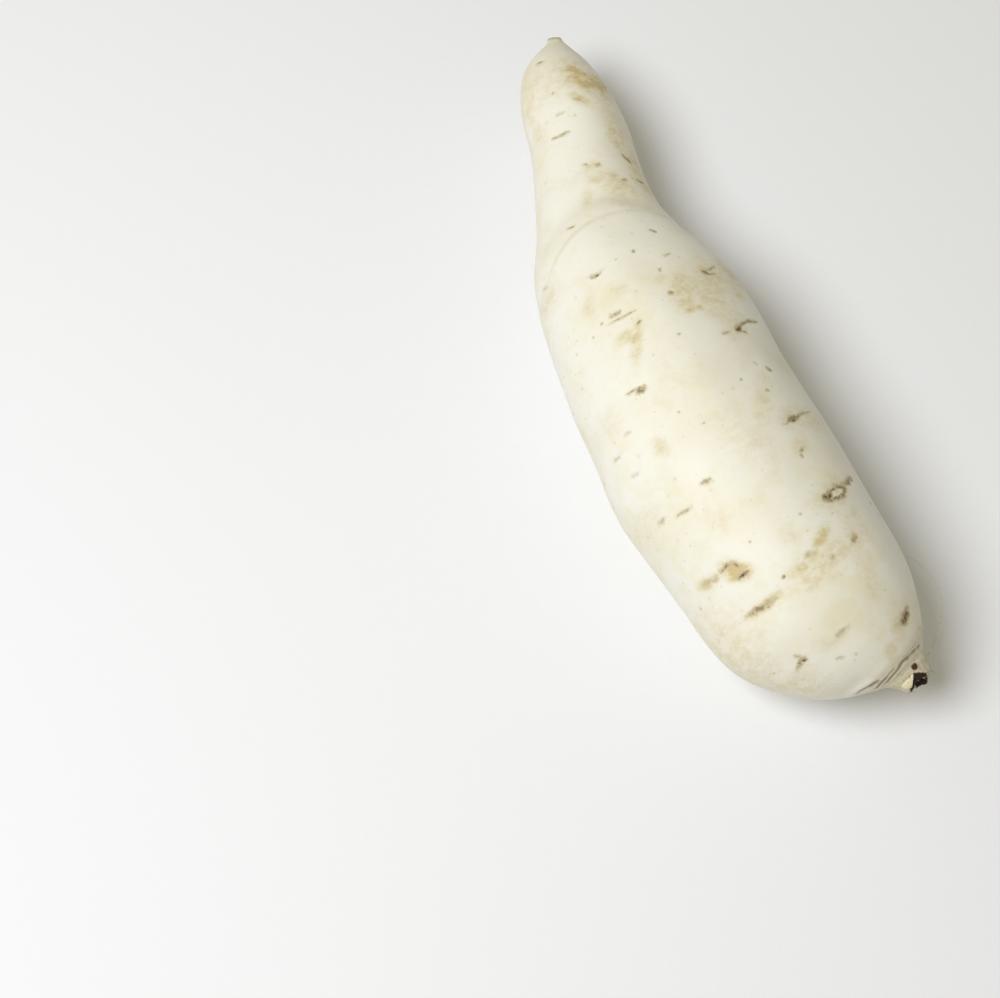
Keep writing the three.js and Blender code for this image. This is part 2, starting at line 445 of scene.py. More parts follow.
@dataclass(frozen=True)
class Place:
    """A point of the skin with its three directions.

    Attributes:
        point: where it is, in millimetres.
        across: the direction around the root.
        along: the direction along it.
        out: the direction out of the skin.
    """

    point: np.ndarray
    across: np.ndarray
    along: np.ndarray
    out: np.ndarray

    def turned(self, degrees: float) -> tuple[np.ndarray, np.ndarray]:
        """The directions along and across a mark that is turned by an angle."""
        c = math.cos(math.radians(degrees))
        s = math.sin(math.radians(degrees))
        return c * self.across + s * self.along, c * self.along - s * self.across


class RootShape:
    """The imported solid's surface, read in millimetres, and where things are on it."""

    SLAB = 3.0  # half thickness of the slice that a middle is taken from
    FEWEST = 8  # a slice with fewer points than this is made thicker
    THICKER = 1.5  # by this factor, until it has them
    STEP = 1.0  # distance from one slice to the next

    def __init__(self, mesh: bpy.types.Mesh) -> None:
        """Reads a mesh in metres.

        Args:
            mesh: the root's closed mesh, with its doubles merged.
        """
        self.points = read_points(mesh) / MM
        faces = [tuple(face.vertices) for face in mesh.polygons]
        self.tree = BVHTree.FromPolygons([tuple(p) for p in self.points], faces)
        self.low = self.points.min(axis=0)
        self.high = self.points.max(axis=0)
        self.slices = np.arange(self.low[0] + self.STEP, self.high[0], self.STEP)
        self.middles = np.array([self._middle(x) for x in self.slices])

    def _middle(self, x: float) -> tuple[float, float]:
        """Middle of the slice at x, in Y and Z."""
        reach = self.SLAB
        near = self.points[np.abs(self.points[:, 0] - x) < reach]
        while len(near) < self.FEWEST:
            reach *= self.THICKER
            near = self.points[np.abs(self.points[:, 0] - x) < reach]
        low, high = near.min(axis=0), near.max(axis=0)
        return (low[1] + high[1]) / 2, (low[2] + high[2]) / 2

    def middle(self, x: float) -> np.ndarray:
        """The point of the root's middle line at x."""
        y = np.interp(x, self.slices, self.middles[:, 0])
        z = np.interp(x, self.slices, self.middles[:, 1])
        return np.array([x, y, z])

    def place(self, x: float, around: float) -> Place:
        """The place on the skin at a distance along X and an angle around.

        Args:
            x: distance from the middle of the root.
            around: angle from the +Y side over the top, in degrees.

        Returns:
            The skin's point there, and its directions.

        Raises:
            ValueError: if the root has no skin that way.
        """
        angle = math.radians(around)
        ray = Vector((0, math.cos(angle), math.sin(angle)))
        start = self.middle(x)
        hit, normal, _, _ = self.tree.ray_cast(Vector(start), ray)
        if hit is None:
            raise ValueError(f"no skin at x {x}, around {around}")
        out = np.array(normal)
        across = np.array([0, -math.sin(angle), math.cos(angle)])
        across -= out * (across @ out)
        across /= np.linalg.norm(across)
        return Place(np.array(hit), across, np.cross(across, out), out)


def read_points(mesh: bpy.types.Mesh) -> np.ndarray:
    """A mesh's vertices, one row each, in metres."""
    flat = np.empty(len(mesh.vertices) * 3)
    mesh.vertices.foreach_get("co", flat)
    return flat.reshape(-1, 3)


def read_normals(mesh: bpy.types.Mesh) -> np.ndarray:
    """A mesh's vertex normals, one row each."""
    flat = np.empty(len(mesh.vertices) * 3)
    mesh.vertex_normals.foreach_get("vector", flat)
    return flat.reshape(-1, 3)


def write_points(mesh: bpy.types.Mesh, points: np.ndarray) -> None:
    """Moves a mesh's vertices to new places, in metres."""
    mesh.vertices.foreach_set("co", points.astype(np.float32).ravel())
    mesh.update()


def write_values(mesh: bpy.types.Mesh, name: str, values: np.ndarray) -> None:
    """Keeps four numbers a vertex under a name, where a finish reads them."""
    layer = mesh.attributes.new(name, "FLOAT_COLOR", "POINT")
    layer.data.foreach_set("color", values.astype(np.float32).ravel())


def soft_step(values: np.ndarray, low: float, high: float) -> np.ndarray:
    """0 at low and 1 at high, with a smooth rise between them."""
    t = np.clip((values - low) / (high - low), 0, 1)
    return t * t * (3 - 2 * t)


def bell(values: np.ndarray, width: float) -> np.ndarray:
    """1 at zero, falling off over a width."""
    return np.exp(-((values / width) ** 2))


def grain(points: np.ndarray, wavelength: float, octaves: int = 2) -> np.ndarray:
    """Smooth noise at points in millimetres, about -1 to 1."""
    scaled = points / wavelength
    return np.array([noise.fractal(Vector(p), 1.0, 2.0, octaves) for p in scaled])


def angle_from(around: np.ndarray, middle: float | np.ndarray) -> np.ndarray:
    """Angles measured from a middle one, between -180 and 180 degrees."""
    return (around - middle + 180) % 360 - 180


def select_only(*objects: bpy.types.Object) -> None:
    """Selects these objects and nothing else, and makes the first one active."""
    bpy.ops.object.select_all(action="DESELECT")
    for ob in objects:
        ob.select_set(True)
    bpy.context.view_layer.objects.active = objects[0]


@contextmanager
def whole_mesh_selected() -> Iterator[None]:
    """Edit mode for the active mesh, with all of it selected."""
    bpy.ops.object.mode_set(mode="EDIT")
    bpy.ops.mesh.select_all(action="SELECT")
    yield
    bpy.ops.object.mode_set(mode="OBJECT")


# ------------------------------------------------------------------ relief of the skin


@dataclass(frozen=True)
class Lumps:
    """The uneven swell of the flesh under the skin.

    Attributes:
        waves: wavelength and height of each of its layers.
    """

    waves: tuple[tuple[float, float], ...] = ((34, 0.5), (13, 0.14), (5, 0.035))

    def relief(self, points: np.ndarray) -> np.ndarray:
        """How far the skin stands out at each point."""
        return sum(height * grain(points, wave) for wave, height in self.waves)


@dataclass(frozen=True)
class ShoulderCrease:
    """The fine crease that arches over the top where the shoulder bulges over the neck.

    Attributes:
        x: where it crosses its highest place.
        around: angle of that place.
        sweep: how far it runs towards the stump on the far side.
        front_sweep: the same for the near side.
        depth: how far it sinks.
        width: half of its width.
        reach: angle from its highest place, towards the back, at which it has faded out.
        start: angle from its highest place, towards the front, at which it begins.
        start_fade: angle over which it comes in from there.
    """

    x: float = -41.8
    around: float = 104
    sweep: float = 21
    front_sweep: float = 9
    depth: float = 0.2
    width: float = 0.6
    reach: float = 66
    start: float = -86
    start_fade: float = 26

    def share(self, points: np.ndarray, around: np.ndarray) -> np.ndarray:
        """1 in the bottom of the crease and 0 away from it."""
        off = angle_from(around, self.around)
        wobble = 0.5 * grain(points, 16) + 0.2 * grain(points, 5)
        sweep = np.where(off < 0, self.front_sweep, self.sweep)
        line = self.x + sweep * (1 - np.cos(np.radians(off))) + wobble
        fade = soft_step(off, self.start, self.start + self.start_fade)
        fade *= 1 - soft_step(off, 0.55 * self.reach, self.reach)
        broken = 0.35 + 0.65 * soft_step(grain(points, 8), -0.25, 0.35)
        return bell(points[:, 0] - line, self.width) * fade * broken


@dataclass(frozen=True)
class Ridge:
    """A blunt lengthwise edge of the flesh, where the front turns into the flank.

    Attributes:
        start: where it begins, as x and around.
        end: where it ends.
        height: how far it stands out.
        width: how far its sides reach.
        blunt: how far its crest is rounded.
        fade: length over which each end runs out.
    """

    start: tuple[float, float]
    end: tuple[float, float]
    height: float
    width: float = 9.0
    blunt: float = 1.6
    fade: float = 20.0

    def relief(self, points: np.ndarray, around: np.ndarray, radius: np.ndarray) -> np.ndarray:
        """How far the ridge lifts the skin at each point."""
        x = points[:, 0]
        line = np.interp(x, (self.start[0], self.end[0]), (self.start[1], self.end[1]))
        gap = np.radians(angle_from(around, line)) * radius
        crest = np.exp(-(np.sqrt(gap**2 + self.blunt**2) - self.blunt) / self.width)
        ends = soft_step(x, self.start[0] - self.fade, self.start[0] + self.fade)
        ends *= 1 - soft_step(x, self.end[0] - self.fade, self.end[0] + self.fade)
        return self.height * crest * ends


RIDGES = [
    Ridge((-30, 100), (48, 84), 0.7),
    Ridge((-88, 84), (-58, 78), 0.45, width=6.0),
]


@dataclass(frozen=True)
class Furrow:
    """One furrow of the crown, which runs around the stump.

    Attributes:
        radius: distance from the stump's axis at its middle.
        drift: how much further out it gets, in millimetres a degree.
        around: angle of its middle around the stump.
        spread: half of the angle that it covers.
        depth: how far it sinks.
        width: half of its width.
        dark: how dark it is.
    """

    radius: float
    drift: float
    around: float
    spread: float
    depth: float
    width: float
    dark: float


FURROWS = [
    Furrow(8.2, 0.010, 112, 78, 0.26, 0.38, 1.0),
    Furrow(8.9, 0.006, 84, 34, 0.1, 0.2, 0.4),
    Furrow(7.2, 0.012, 142, 30, 0.12, 0.22, 0.4),
    Furrow(9.7, 0.022, 150, 38, 0.28, 0.36, 1.0),
    # This furrow's dark brown is partly painted shadow along the crown's lower edge.
    Furrow(12.6, 0.09, 168, 24, 0.3, 0.65, 1.3),
    Furrow(7.9, -0.01, 245, 55, 0.4, 0.32, 0.7),
    Furrow(10.4, 0.015, 232, 40, 0.35, 0.35, 0.55),
    Furrow(8.4, 0.012, 335, 48, 0.4, 0.3, 0.75),
    Furrow(11.4, -0.02, 300, 34, 0.3, 0.4, 0.45),
    Furrow(10.6, 0.03, 25, 30, 0.25, 0.3, 0.4),
    Furrow(13.6, 0.02, 262, 26, 0.25, 0.4, 0.35),
]


@dataclass
class Stump:
    """The torn end of the stem, and the crown that wrinkles around it.

    Attributes:
        turn: angle of its axis from +X towards +Y.
        dip: angle of its axis below the horizon.
        rim_radius: radius of its torn rim.
        notch_around: where the rim is torn deepest.
        notch_spread: half of the angle that the tear covers.
        notch_depth: how deep the tear is.
        far_around: where the rim stands highest, across the hollow from the tear.
        far_spread: half of the angle that it stands high over.
        far_rise: how far it stands out there.
        darkened_around: the middle of the stretch of the rim that is painted dark.
        darkened_spread: half of the angle that it covers.
        hollow_depth: how much deeper than the solid's the hollow is.
        reach: distance from the axis that all of the stump keeps within.
        rim_band: how far below the furthest point, along the axis, the rim's other points lie.
        crown_radii: the furrowed crown's least and greatest distance from the axis.
        crown_drop: how far below the rim the furrowed crown reaches.
        dots: height, angle and radius of each small dark hole at its foot.
        rim: middle of its torn rim, which find_rim sets.
    """

    turn: float = 22
    dip: float = 15
    rim_radius: float = 4.1
    notch_around: float = 111
    notch_spread: float = 31
    notch_depth: float = 1.0
    far_around: float = 298
    far_spread: float = 44
    far_rise: float = 2.8
    darkened_around: float = 150
    darkened_spread: float = 34
    hollow_depth: float = 2.2
    reach: float = 9
    rim_band: float = 0.45
    crown_radii: tuple[float, float] = (5, 13)
    crown_drop: float = 11
    dots: tuple[tuple[float, float, float], ...] = ((-4.5, 92, 0.95), (-7.1, 58, 0.5))
    rim: np.ndarray = field(default_factory=lambda: np.zeros(3))

    def __post_init__(self) -> None:
        """Works out the directions of its axis and of angles 0 and 90 around it."""
        turn, dip = math.radians(self.turn), math.radians(self.dip)
        self.axis = np.array([math.cos(turn) * math.cos(dip), math.sin(turn) * math.cos(dip), -math.sin(dip)])
        self.side = np.array([-math.sin(turn), math.cos(turn), 0.0])
        self.up = np.cross(self.axis, self.side)

    def find_rim(self, shape: RootShape) -> None:
        """Puts the axis through the middle of the solid's torn rim, its furthest ring of points."""
        height = shape.points @ self.axis
        rim = shape.points[height > height.max() - self.rim_band]
        self.rim = (rim.min(axis=0) + rim.max(axis=0)) / 2

    def polar(self, points: np.ndarray) -> tuple[np.ndarray, np.ndarray, np.ndarray]:
        """Places of points about the axis.

        Returns:
            Height out of the rim, distance from the axis, and angle around it in degrees.
        """
        off = points - self.rim
        side, up = off @ self.side, off @ self.up
        return off @ self.axis, np.hypot(side, up), np.degrees(np.arctan2(up, side)) % 360

    def near(self, points: np.ndarray) -> np.ndarray:
        """True for the points of the furrowed crown around the stump."""
        height, radius, _ = self.polar(points)
        least, greatest = self.crown_radii
        return (height > -self.crown_drop) & (radius > least) & (radius < greatest)

    def point(self, height: float, radius: float, around: float) -> np.ndarray:
        """The point at a place about the axis."""
        angle = math.radians(around)
        sideways = math.cos(angle) * self.side + math.sin(angle) * self.up
        return self.rim + height * self.axis + radius * sideways

    def furrow_shares(self, points: np.ndarray) -> tuple[np.ndarray, np.ndarray]:
        """How deep and how dark the crown's furrows are at each point.

        Returns:
            Depth in millimetres, and darkness from 0 to 1.
        """
        height, radius, around = self.polar(points)
        near = soft_step(height, -20, -14)
        wobble = 0.45 * grain(points, 6) + 0.2 * grain(points, 2.2)
        broken = 0.45 + 0.55 * soft_step(grain(points, 3.2), -0.3, 0.25)
        depth = np.zeros(len(points))
        dark = np.zeros(len(points))
        for furrow in FURROWS:
            off = angle_from(around, furrow.around)
            line = furrow.radius + furrow.drift * off + wobble
            fade = 1 - soft_step(np.abs(off), 0.5 * furrow.spread, furrow.spread)
            gap = radius - line
            share = bell(gap, furrow.width) * fade * near
            ridge = bell(gap - 2.1 * furrow.width, 1.2 * furrow.width) * fade * near
            depth += furrow.depth * (share - 0.35 * ridge)
            dark = np.maximum(dark, furrow.dark * share * broken)
        return depth, dark

    def notch(self, around: np.ndarray) -> np.ndarray:
        """1 where the rim is torn deepest and 0 away from the tear."""
        return bell(angle_from(around, self.notch_around), self.notch_spread)

    def tear(self, points: np.ndarray) -> np.ndarray:
        """Moves that tear the rim, sink the hollow and raise fibres along the stump."""
        height, radius, around = self.polar(points)
        angle = np.radians(around)
        ring = np.stack([np.cos(angle), np.sin(angle), np.zeros_like(angle)], axis=1)
        ragged = 0.45 * grain(ring * 4, 2.0) + 0.3 * grain(ring * 11, 2.0)
        fibres = 0.14 * grain(np.column_stack([ring[:, :2] * 9, height * 0.12]), 1.6, 3)
        within = radius < self.reach
        upper = soft_step(height, -5, 0.5) * within
        wall = soft_step(radius, 1.2, 3.0)
        sink = -self.hollow_depth * (1 - soft_step(radius, 0.5, 3.2)) * soft_step(height, -4.5, -2.5)
        far = self.far_rise * bell(angle_from(around, self.far_around), self.far_spread)
        along = upper * wall * (ragged + far - self.notch_depth * self.notch(around)) + sink
        on_stump = soft_step(height, -7.5, -4.5) * within * wall
        outwards = (points - self.rim) - np.outer(height, self.axis)
        outwards /= np.maximum(radius, 0.3)[:, None]
        return np.outer(along, self.axis) + outwards * (fibres * on_stump)[:, None]

    def shares(self, points: np.ndarray) -> np.ndarray:
        """Fibrous skin, dark hollow and wrinkled collar at each point, one column each."""
        height, radius, around = self.polar(points)
        jitter = 0.5 * grain(points, 2.5) + 0.5 * grain(points, 0.9)
        within = radius < self.reach
        fibrous = soft_step(height + jitter, -6.5, -3.5) * within
        inside = (1 - soft_step(radius, 2.9, 3.7)) * soft_step(height, -4.5, -3.2)
        torn = self.notch(around)
        # The rim is painted dark brown to black where it is torn and along one further stretch.
        low = bell(angle_from(around, self.darkened_around), self.darkened_spread)
        darkened_rim = np.maximum(soft_step(torn, 0.1, 0.4), low)
        edge = soft_step(height + jitter + 3.5 * torn + 0.9 * low, -0.2, 0.5) * darkened_rim * within
        dark = np.maximum(inside, edge)
        for dot_height, dot_around, dot_radius in self.dots:
            sideways = np.radians(angle_from(around, dot_around)) * radius
            away = np.hypot(height - dot_height, sideways) + 0.25 * grain(points, 1.0)
            hole = 0.86 * min(1.0, dot_radius) * (1 - soft_step(away, 0.5 * dot_radius, 1.3 * dot_radius))
            dark = np.maximum(dark, hole * (radius > 3))
        collar = soft_step(height, -16, -7)
        return np.stack([fibrous, dark, collar], axis=1)


@dataclass(frozen=True)
class RootTip:
    """The dry end where the thin root below broke off.

    Attributes:
        cap: radius of the dry skin.
        blush: radius of the straw-coloured skin around it.
        swell: how far the dry skin stands out.
        cut: how much of the point is broken off flat.
        flatness: share of what stands out beyond the break that is pressed back.
        way: which way the flat break faces.
    """

    cap: float = 2.6
    blush: float = 13.0
    swell: float = 0.7
    cut: float = 0.55
    flatness: float = 0.9
    way: tuple[float, float, float] = (-0.87, 0.36, 0.33)

    @property
    def _outwards(self) -> np.ndarray:
        """The direction that the flat break faces, one long."""
        return np.array(self.way) / np.linalg.norm(self.way)

    def shares(self, points: np.ndarray) -> tuple[np.ndarray, np.ndarray]:
        """Dry cap and the straw-coloured skin around it, at each point."""
        tip = points[(points @ self._outwards).argmax()]
        away = np.linalg.norm(points - tip, axis=1) + 0.3 * grain(points, 2)
        return 1 - soft_step(away, 0.3 * self.cap, self.cap), 1 - soft_step(away, 2, self.blush)

    def broken_off(self, points: np.ndarray) -> np.ndarray:
        """Moves that press the point back to its flat break."""
        reach = points @ self._outwards
        beyond = reach - (reach.max() - self.cut) + 0.12 * grain(points, 1.2)
        return -self.flatness * np.outer(np.maximum(beyond, 0), self._outwards)


# ------------------------------------------------------------------ marks on the mesh


class MarkSheet:
    """Where each vertex lies within the mark nearest to it, kept for the finish to read.

    Marks that come close to each other go on sheets of their own, so that no face of the mesh
    joins two marks on one sheet.
    """

    PAD = 2.4  # how far past a mark its place is kept, for its tan edge
    CLEAR = 1.5  # and how far apart the places of two marks on a sheet are

    def __init__(self, name: str, count: int) -> None:
        """Makes an empty sheet.

        Args:
            name: start of its three attributes' names.
            count: number of vertices.
        """
        self.name = name
        self.place = np.zeros((count, 4))
        self.shape = np.ones((count, 4))
        self.look = np.zeros((count, 4))

    def is_free(self, near: np.ndarray) -> bool:
        """True if no mark has any of these vertices yet."""
        return not self.place[near, 2].any()

    def add(self, mark: Mark, rows: np.ndarray, u: np.ndarray, v: np.ndarray) -> None:
        """Keeps a mark's own coordinates and looks on the vertices that it reaches."""
        look = MARK_LOOKS[mark.kind]
        self.place[rows] = np.column_stack([u, v, np.ones(len(u)), np.full(len(u), mark.heavy)])
        self.shape[rows] = (mark.half_length, mark.half_width, mark.dark * look.ink, look.rag)
        self.look[rows] = (look.halo, look.ring, look.cork, look.depth)

    def write(self, mesh: bpy.types.Mesh) -> None:
        """Writes the sheet's three attributes."""
        write_values(mesh, f"{self.name}_place", self.place)
        write_values(mesh, f"{self.name}_shape", self.shape)
        write_values(mesh, f"{self.name}_look", self.look)


SHEET_NAMES = ("marks_one", "marks_two", "marks_three", "marks_four")


@dataclass
class SkinMarks:
    """All marks of the skin, set down on the root's surface.

    Attributes:
        shape: the surface that they lie on.
        marks: the marks.
    """

    LEAST_SUNK = 0.9  # the cores of narrower marks are sunk by the finish alone
    RELIEF_REACH = (6, 8)  # a mark's relief ends this far past its ends and from its middle line
    DIMPLE = 0.012  # depth of the soft dimple around a mark, as a share of its length
    DIMPLE_REACH = (1.6, 2.2)  # how far the dimple goes past the mark, lengthways and across
    CRACK_DEPTH = 0.14  # how far the middle of a crack or a pit is sunk at most
    SWELL = 0.1  # how far the edge of a scar stands out
    SAME_SIDE = 6.0  # a mark's plane is this close to the skin that it lies on
    STAIN_SIDE = 8.0  # and the plane of a stain, which is larger, this close
    STAIN_EDGE = 1.4  # how sharply a stain falls off

    shape: RootShape
    marks: list[Mark]

    def __post_init__(self) -> None:
        """Finds each mark's place, the largest mark first."""
        self.marks = sorted(self.marks, key=lambda m: -m.length * m.width)
        self.places = [self.shape.place(m.x, m.around) for m in self.marks]

    @staticmethod
    def own_coordinates(
        mark: Mark, place: Place, points: np.ndarray
    ) -> tuple[np.ndarray, np.ndarray, np.ndarray]:
        """A mark's own coordinates of points.

        Returns:
            Distance along the mark, distance across it, and distance out of the skin.
        """
        lengthways, crossways = place.turned(mark.turn)
        off = points - place.point
        u = off @ lengthways
        v = off @ crossways - mark.bow * u * u
        return u, v, off @ place.out

    def reached(self, mark: Mark, place: Place, points: np.ndarray, pad: float) -> np.ndarray:
        """True for the points within a distance of a mark."""
        u, v, out = self.own_coordinates(mark, place, points)
        inside = (u / (mark.half_length + pad)) ** 2 + (v / (mark.half_width + pad)) ** 2 < 1
        return inside & (np.abs(out) < self.SAME_SIDE)

    def near_any(self, points: np.ndarray, pad: float, least_width: float) -> np.ndarray:
        """True for the points within a distance of any mark of at least a width, pores left out."""
        found = np.zeros(len(points), bool)
        for mark, place in zip(self.marks, self.places):
            if mark.width >= least_width and mark.kind is not MarkKind.SPOT:
                found |= self.reached(mark, place, points, pad)
        return found

    def relief(self, points: np.ndarray) -> np.ndarray:
        """How far the marks lift or sink the skin at each point."""
        total = np.zeros(len(points))
        rough = grain(points, 1.3)
        past_end, sideways = self.RELIEF_REACH
        for mark, place in zip(self.marks, self.places):
            u, v, out = self.own_coordinates(mark, place, points)
            close = (np.abs(u) < mark.half_length + past_end) & (np.abs(v) < sideways)
            rows = np.flatnonzero(close & (np.abs(out) < self.SAME_SIDE))
            total[rows] += self._relief_of(mark, u[rows], v[rows], rough[rows])
        return total

    def _relief_of(self, mark: Mark, u: np.ndarray, v: np.ndarray, rough: np.ndarray) -> np.ndarray:
        """One mark's lift of the skin, from its own coordinates."""
        if mark.kind is MarkKind.SPOT:
            return np.zeros_like(u)
        q = np.sqrt((u / mark.half_length) ** 2 + (v / mark.half_width) ** 2)
        core = 1 - soft_step(q, 0.5, 1.2)
        past_end, sideways = self.DIMPLE_REACH
        wide = np.sqrt((u / (mark.half_length + past_end)) ** 2 + (v / (mark.half_width + sideways)) ** 2)
        dimple = self.DIMPLE * mark.length * (1 - soft_step(wide, 0.2, 1.3))
        if mark.width < self.LEAST_SUNK:
            return -dimple
        if mark.kind in (MarkKind.SLIT, MarkKind.PIT):
            return -dimple - self.CRACK_DEPTH * min(1.0, mark.width) * core
        swell = bell(q - 0.85, 0.4) - (1 - soft_step(q, 0.2, 0.9)) + rough * core
        return self.SWELL * swell - dimple

    def write(self, mesh: bpy.types.Mesh, points: np.ndarray) -> None:
        """Writes the marks on as few sheets as keep them apart.

        Args:
            mesh: the skin's mesh, which the attributes are written to.
            points: its vertices before any relief, in millimetres.
        """
        sheets = [MarkSheet(name, len(points)) for name in SHEET_NAMES]
        for mark, place in zip(self.marks, self.places):
            clear = self.reached(mark, place, points, MarkSheet.PAD + MarkSheet.CLEAR)
            free = [sheet for sheet in sheets if sheet.is_free(clear)]
            if not free:
                LOG.warning("no sheet is free for the mark at x %s, around %s", mark.x, mark.around)
                continue
            rows = np.flatnonzero(self.reached(mark, place, points, MarkSheet.PAD))
            u, v, _ = self.own_coordinates(mark, place, points[rows])
            free[0].add(mark, rows, u, v)
        for sheet in sheets:
            sheet.write(mesh)

    def stain(self, stains: list[Stain], points: np.ndarray) -> np.ndarray:
        """How strongly the tan patches colour each point."""
        total = np.zeros(len(points))
        for patch in stains:
            place = self.shape.place(patch.x, patch.around)
            lengthways, crossways = place.turned(patch.turn)
            off = points - place.point
            u, v = off @ lengthways, off @ crossways
            q = (2 * u / patch.length) ** 2 + (2 * v / patch.width) ** 2
            same_side = np.abs(off @ place.out) < self.STAIN_SIDE
            total = np.maximum(total, patch.strength * np.exp(-(q**self.STAIN_EDGE)) * same_side)
        return total


# ------------------------------------------------------------------ finishes


class Graph:
    """Adds nodes to one tree and joins them."""

    def __init__(self, tree: bpy.types.NodeTree) -> None:
        """Works on one node tree."""
        self.tree = tree

    def add(self, kind: str, inputs: dict | None = None, **settings: object) -> bpy.types.Node:
        """Adds a node.

        Args:
            kind: the node's type.
            inputs: sockets or constants, by input name or number.
            settings: the node's own settings.

        Returns:
            The new node.
        """
        node = self.tree.nodes.new(kind)
        for name, value in settings.items():
            setattr(node, name, value)
        for key, value in (inputs or {}).items():
            self.feed(node.inputs[key], value)
        return node

    def feed(self, socket: Socket, value: object) -> None:
        """Joins a socket to another, or sets its constant."""
        if isinstance(value, bpy.types.NodeSocket):
            self.tree.links.new(value, socket)
        else:
            socket.default_value = value

    def math(self, operation: str, first: object, second: object = 0.0, clamp: bool = False) -> Socket:
        """One sum on one or two values."""
        node = self.add("ShaderNodeMath", {0: first, 1: second}, operation=operation, use_clamp=clamp)
        return node.outputs[0]

    def product(self, *factors: object) -> Socket:
        """All factors multiplied."""
        return reduce(lambda first, second: self.math("MULTIPLY", first, second), factors)

    def total(self, *terms: object) -> Socket:
        """All terms added up."""
        return reduce(lambda first, second: self.math("ADD", first, second), terms)

    def rest(self, share: object) -> Socket:
        """What a share leaves of one."""
        return self.math("SUBTRACT", 1.0, share)

    def centred(self, value: object) -> Socket:
        """A value between 0 and 1, moved to between -0.5 and 0.5."""
        return self.math("SUBTRACT", value, 0.5)

    def step(self, value: object, low: object, high: object) -> Socket:
        """0 at low and 1 at high, with a smooth rise between them."""
        inputs = {"Value": value, "From Min": low, "From Max": high}
        return self.add("ShaderNodeMapRange", inputs, interpolation_type="SMOOTHSTEP").outputs[0]

    def blend(self, share: object, first: object, second: object) -> Socket:
        """A colour between two colours."""
        node = self.add("ShaderNodeMix", data_type="RGBA")
        self.feed(node.inputs[0], share)
        self.feed(node.inputs[6], first)
        self.feed(node.inputs[7], second)
        return node.outputs[2]

    def mix(self, share: object, first: object, second: object) -> Socket:
        """A value between two values."""
        node = self.add("ShaderNodeMix", data_type="FLOAT")
        self.feed(node.inputs[0], share)
        self.feed(node.inputs[2], first)
        self.feed(node.inputs[3], second)
        return node.outputs[0]

    def noise_node(
        self, where: Socket, wavelength: float, detail: float = 2.0, roughness: float = 0.5
    ) -> bpy.types.Node:
        """A noise texture of a wavelength in millimetres."""
        inputs = {"Vector": where, "Scale": 1 / (wavelength * MM), "Detail": detail, "Roughness": roughness}
        return self.add("ShaderNodeTexNoise", inputs)

    def noise(self, where: Socket, wavelength: float, detail: float = 2.0, roughness: float = 0.5) -> Socket:
        """Smooth noise of a wavelength in millimetres, about 0 to 1."""
        return self.noise_node(where, wavelength, detail, roughness).outputs["Fac"]

    def stretched(self, where: Socket, scale: Colour, turn: Colour = (0, 0, 0)) -> Socket:
        """Coordinates turned, in degrees, and then scaled along each axis."""
        inputs = {"Vector": where, "Rotation": [math.radians(a) for a in turn], "Scale": scale}
        return self.add("ShaderNodeMapping", inputs, vector_type="TEXTURE").outputs[0]

    def parts(self, colour: Socket) -> list[Socket]:
        """The three numbers in a colour."""
        return list(self.add("ShaderNodeSeparateColor", {0: colour}).outputs)

    def bump(self, height: Socket, distance: float) -> Socket:
        """A surface direction from a relief, which stands out by a distance in metres."""
        inputs = {"Height": height, "Distance": distance, "Strength": 1.0}
        return self.add("ShaderNodeBump", inputs).outputs["Normal"]

    def group(self, tree: bpy.types.NodeTree, inputs: dict[str, object]) -> dict[str, Socket]:
        """Places a node group, fed by input name, and gives its results by name."""
        node = self.add("ShaderNodeGroup", inputs, node_tree=tree)
        return {socket.name: socket for socket in node.outputs}

    def attribute(self, name: str) -> tuple[Socket, Socket]:
        """An attribute's colour and alpha."""
        node = self.add("ShaderNodeAttribute", attribute_name=name)
        return node.outputs["Color"], node.outputs["Alpha"]

    def object_place(self) -> Socket:
        """Object coordinates."""
        return self.add("ShaderNodeTexCoord").outputs["Object"]


def rgba(colour: Colour) -> tuple[float, float, float, float]:
    """A colour with full alpha."""
    return (*colour, 1.0)


def new_material(name: str) -> tuple[bpy.types.Material, Graph, bpy.types.Node]:
    """An empty material.

    Args:
        name: the material's name.

    Returns:
        The material, the graph to fill it with and its Principled shader.
    """
    made = bpy.data.materials.new(name)
    made.use_nodes = True
    return made, Graph(made.node_tree), made.node_tree.nodes["Principled BSDF"]


def new_group(name: str, inputs: dict[str, str], outputs: dict[str, str]) -> tuple[bpy.types.NodeTree, Graph]:
    """An empty shader node group.

    Args:
        name: the group's name.
        inputs: socket types by name.
        outputs: socket types by name.

    Returns:
        The group and the graph to fill it with.
    """
    tree = bpy.data.node_groups.new(name, "ShaderNodeTree")
    for label, kind in inputs.items():
        tree.interface.new_socket(label, in_out="INPUT", socket_type=kind)
    for label, kind in outputs.items():
        tree.interface.new_socket(label, in_out="OUTPUT", socket_type=kind)
    return tree, Graph(tree)


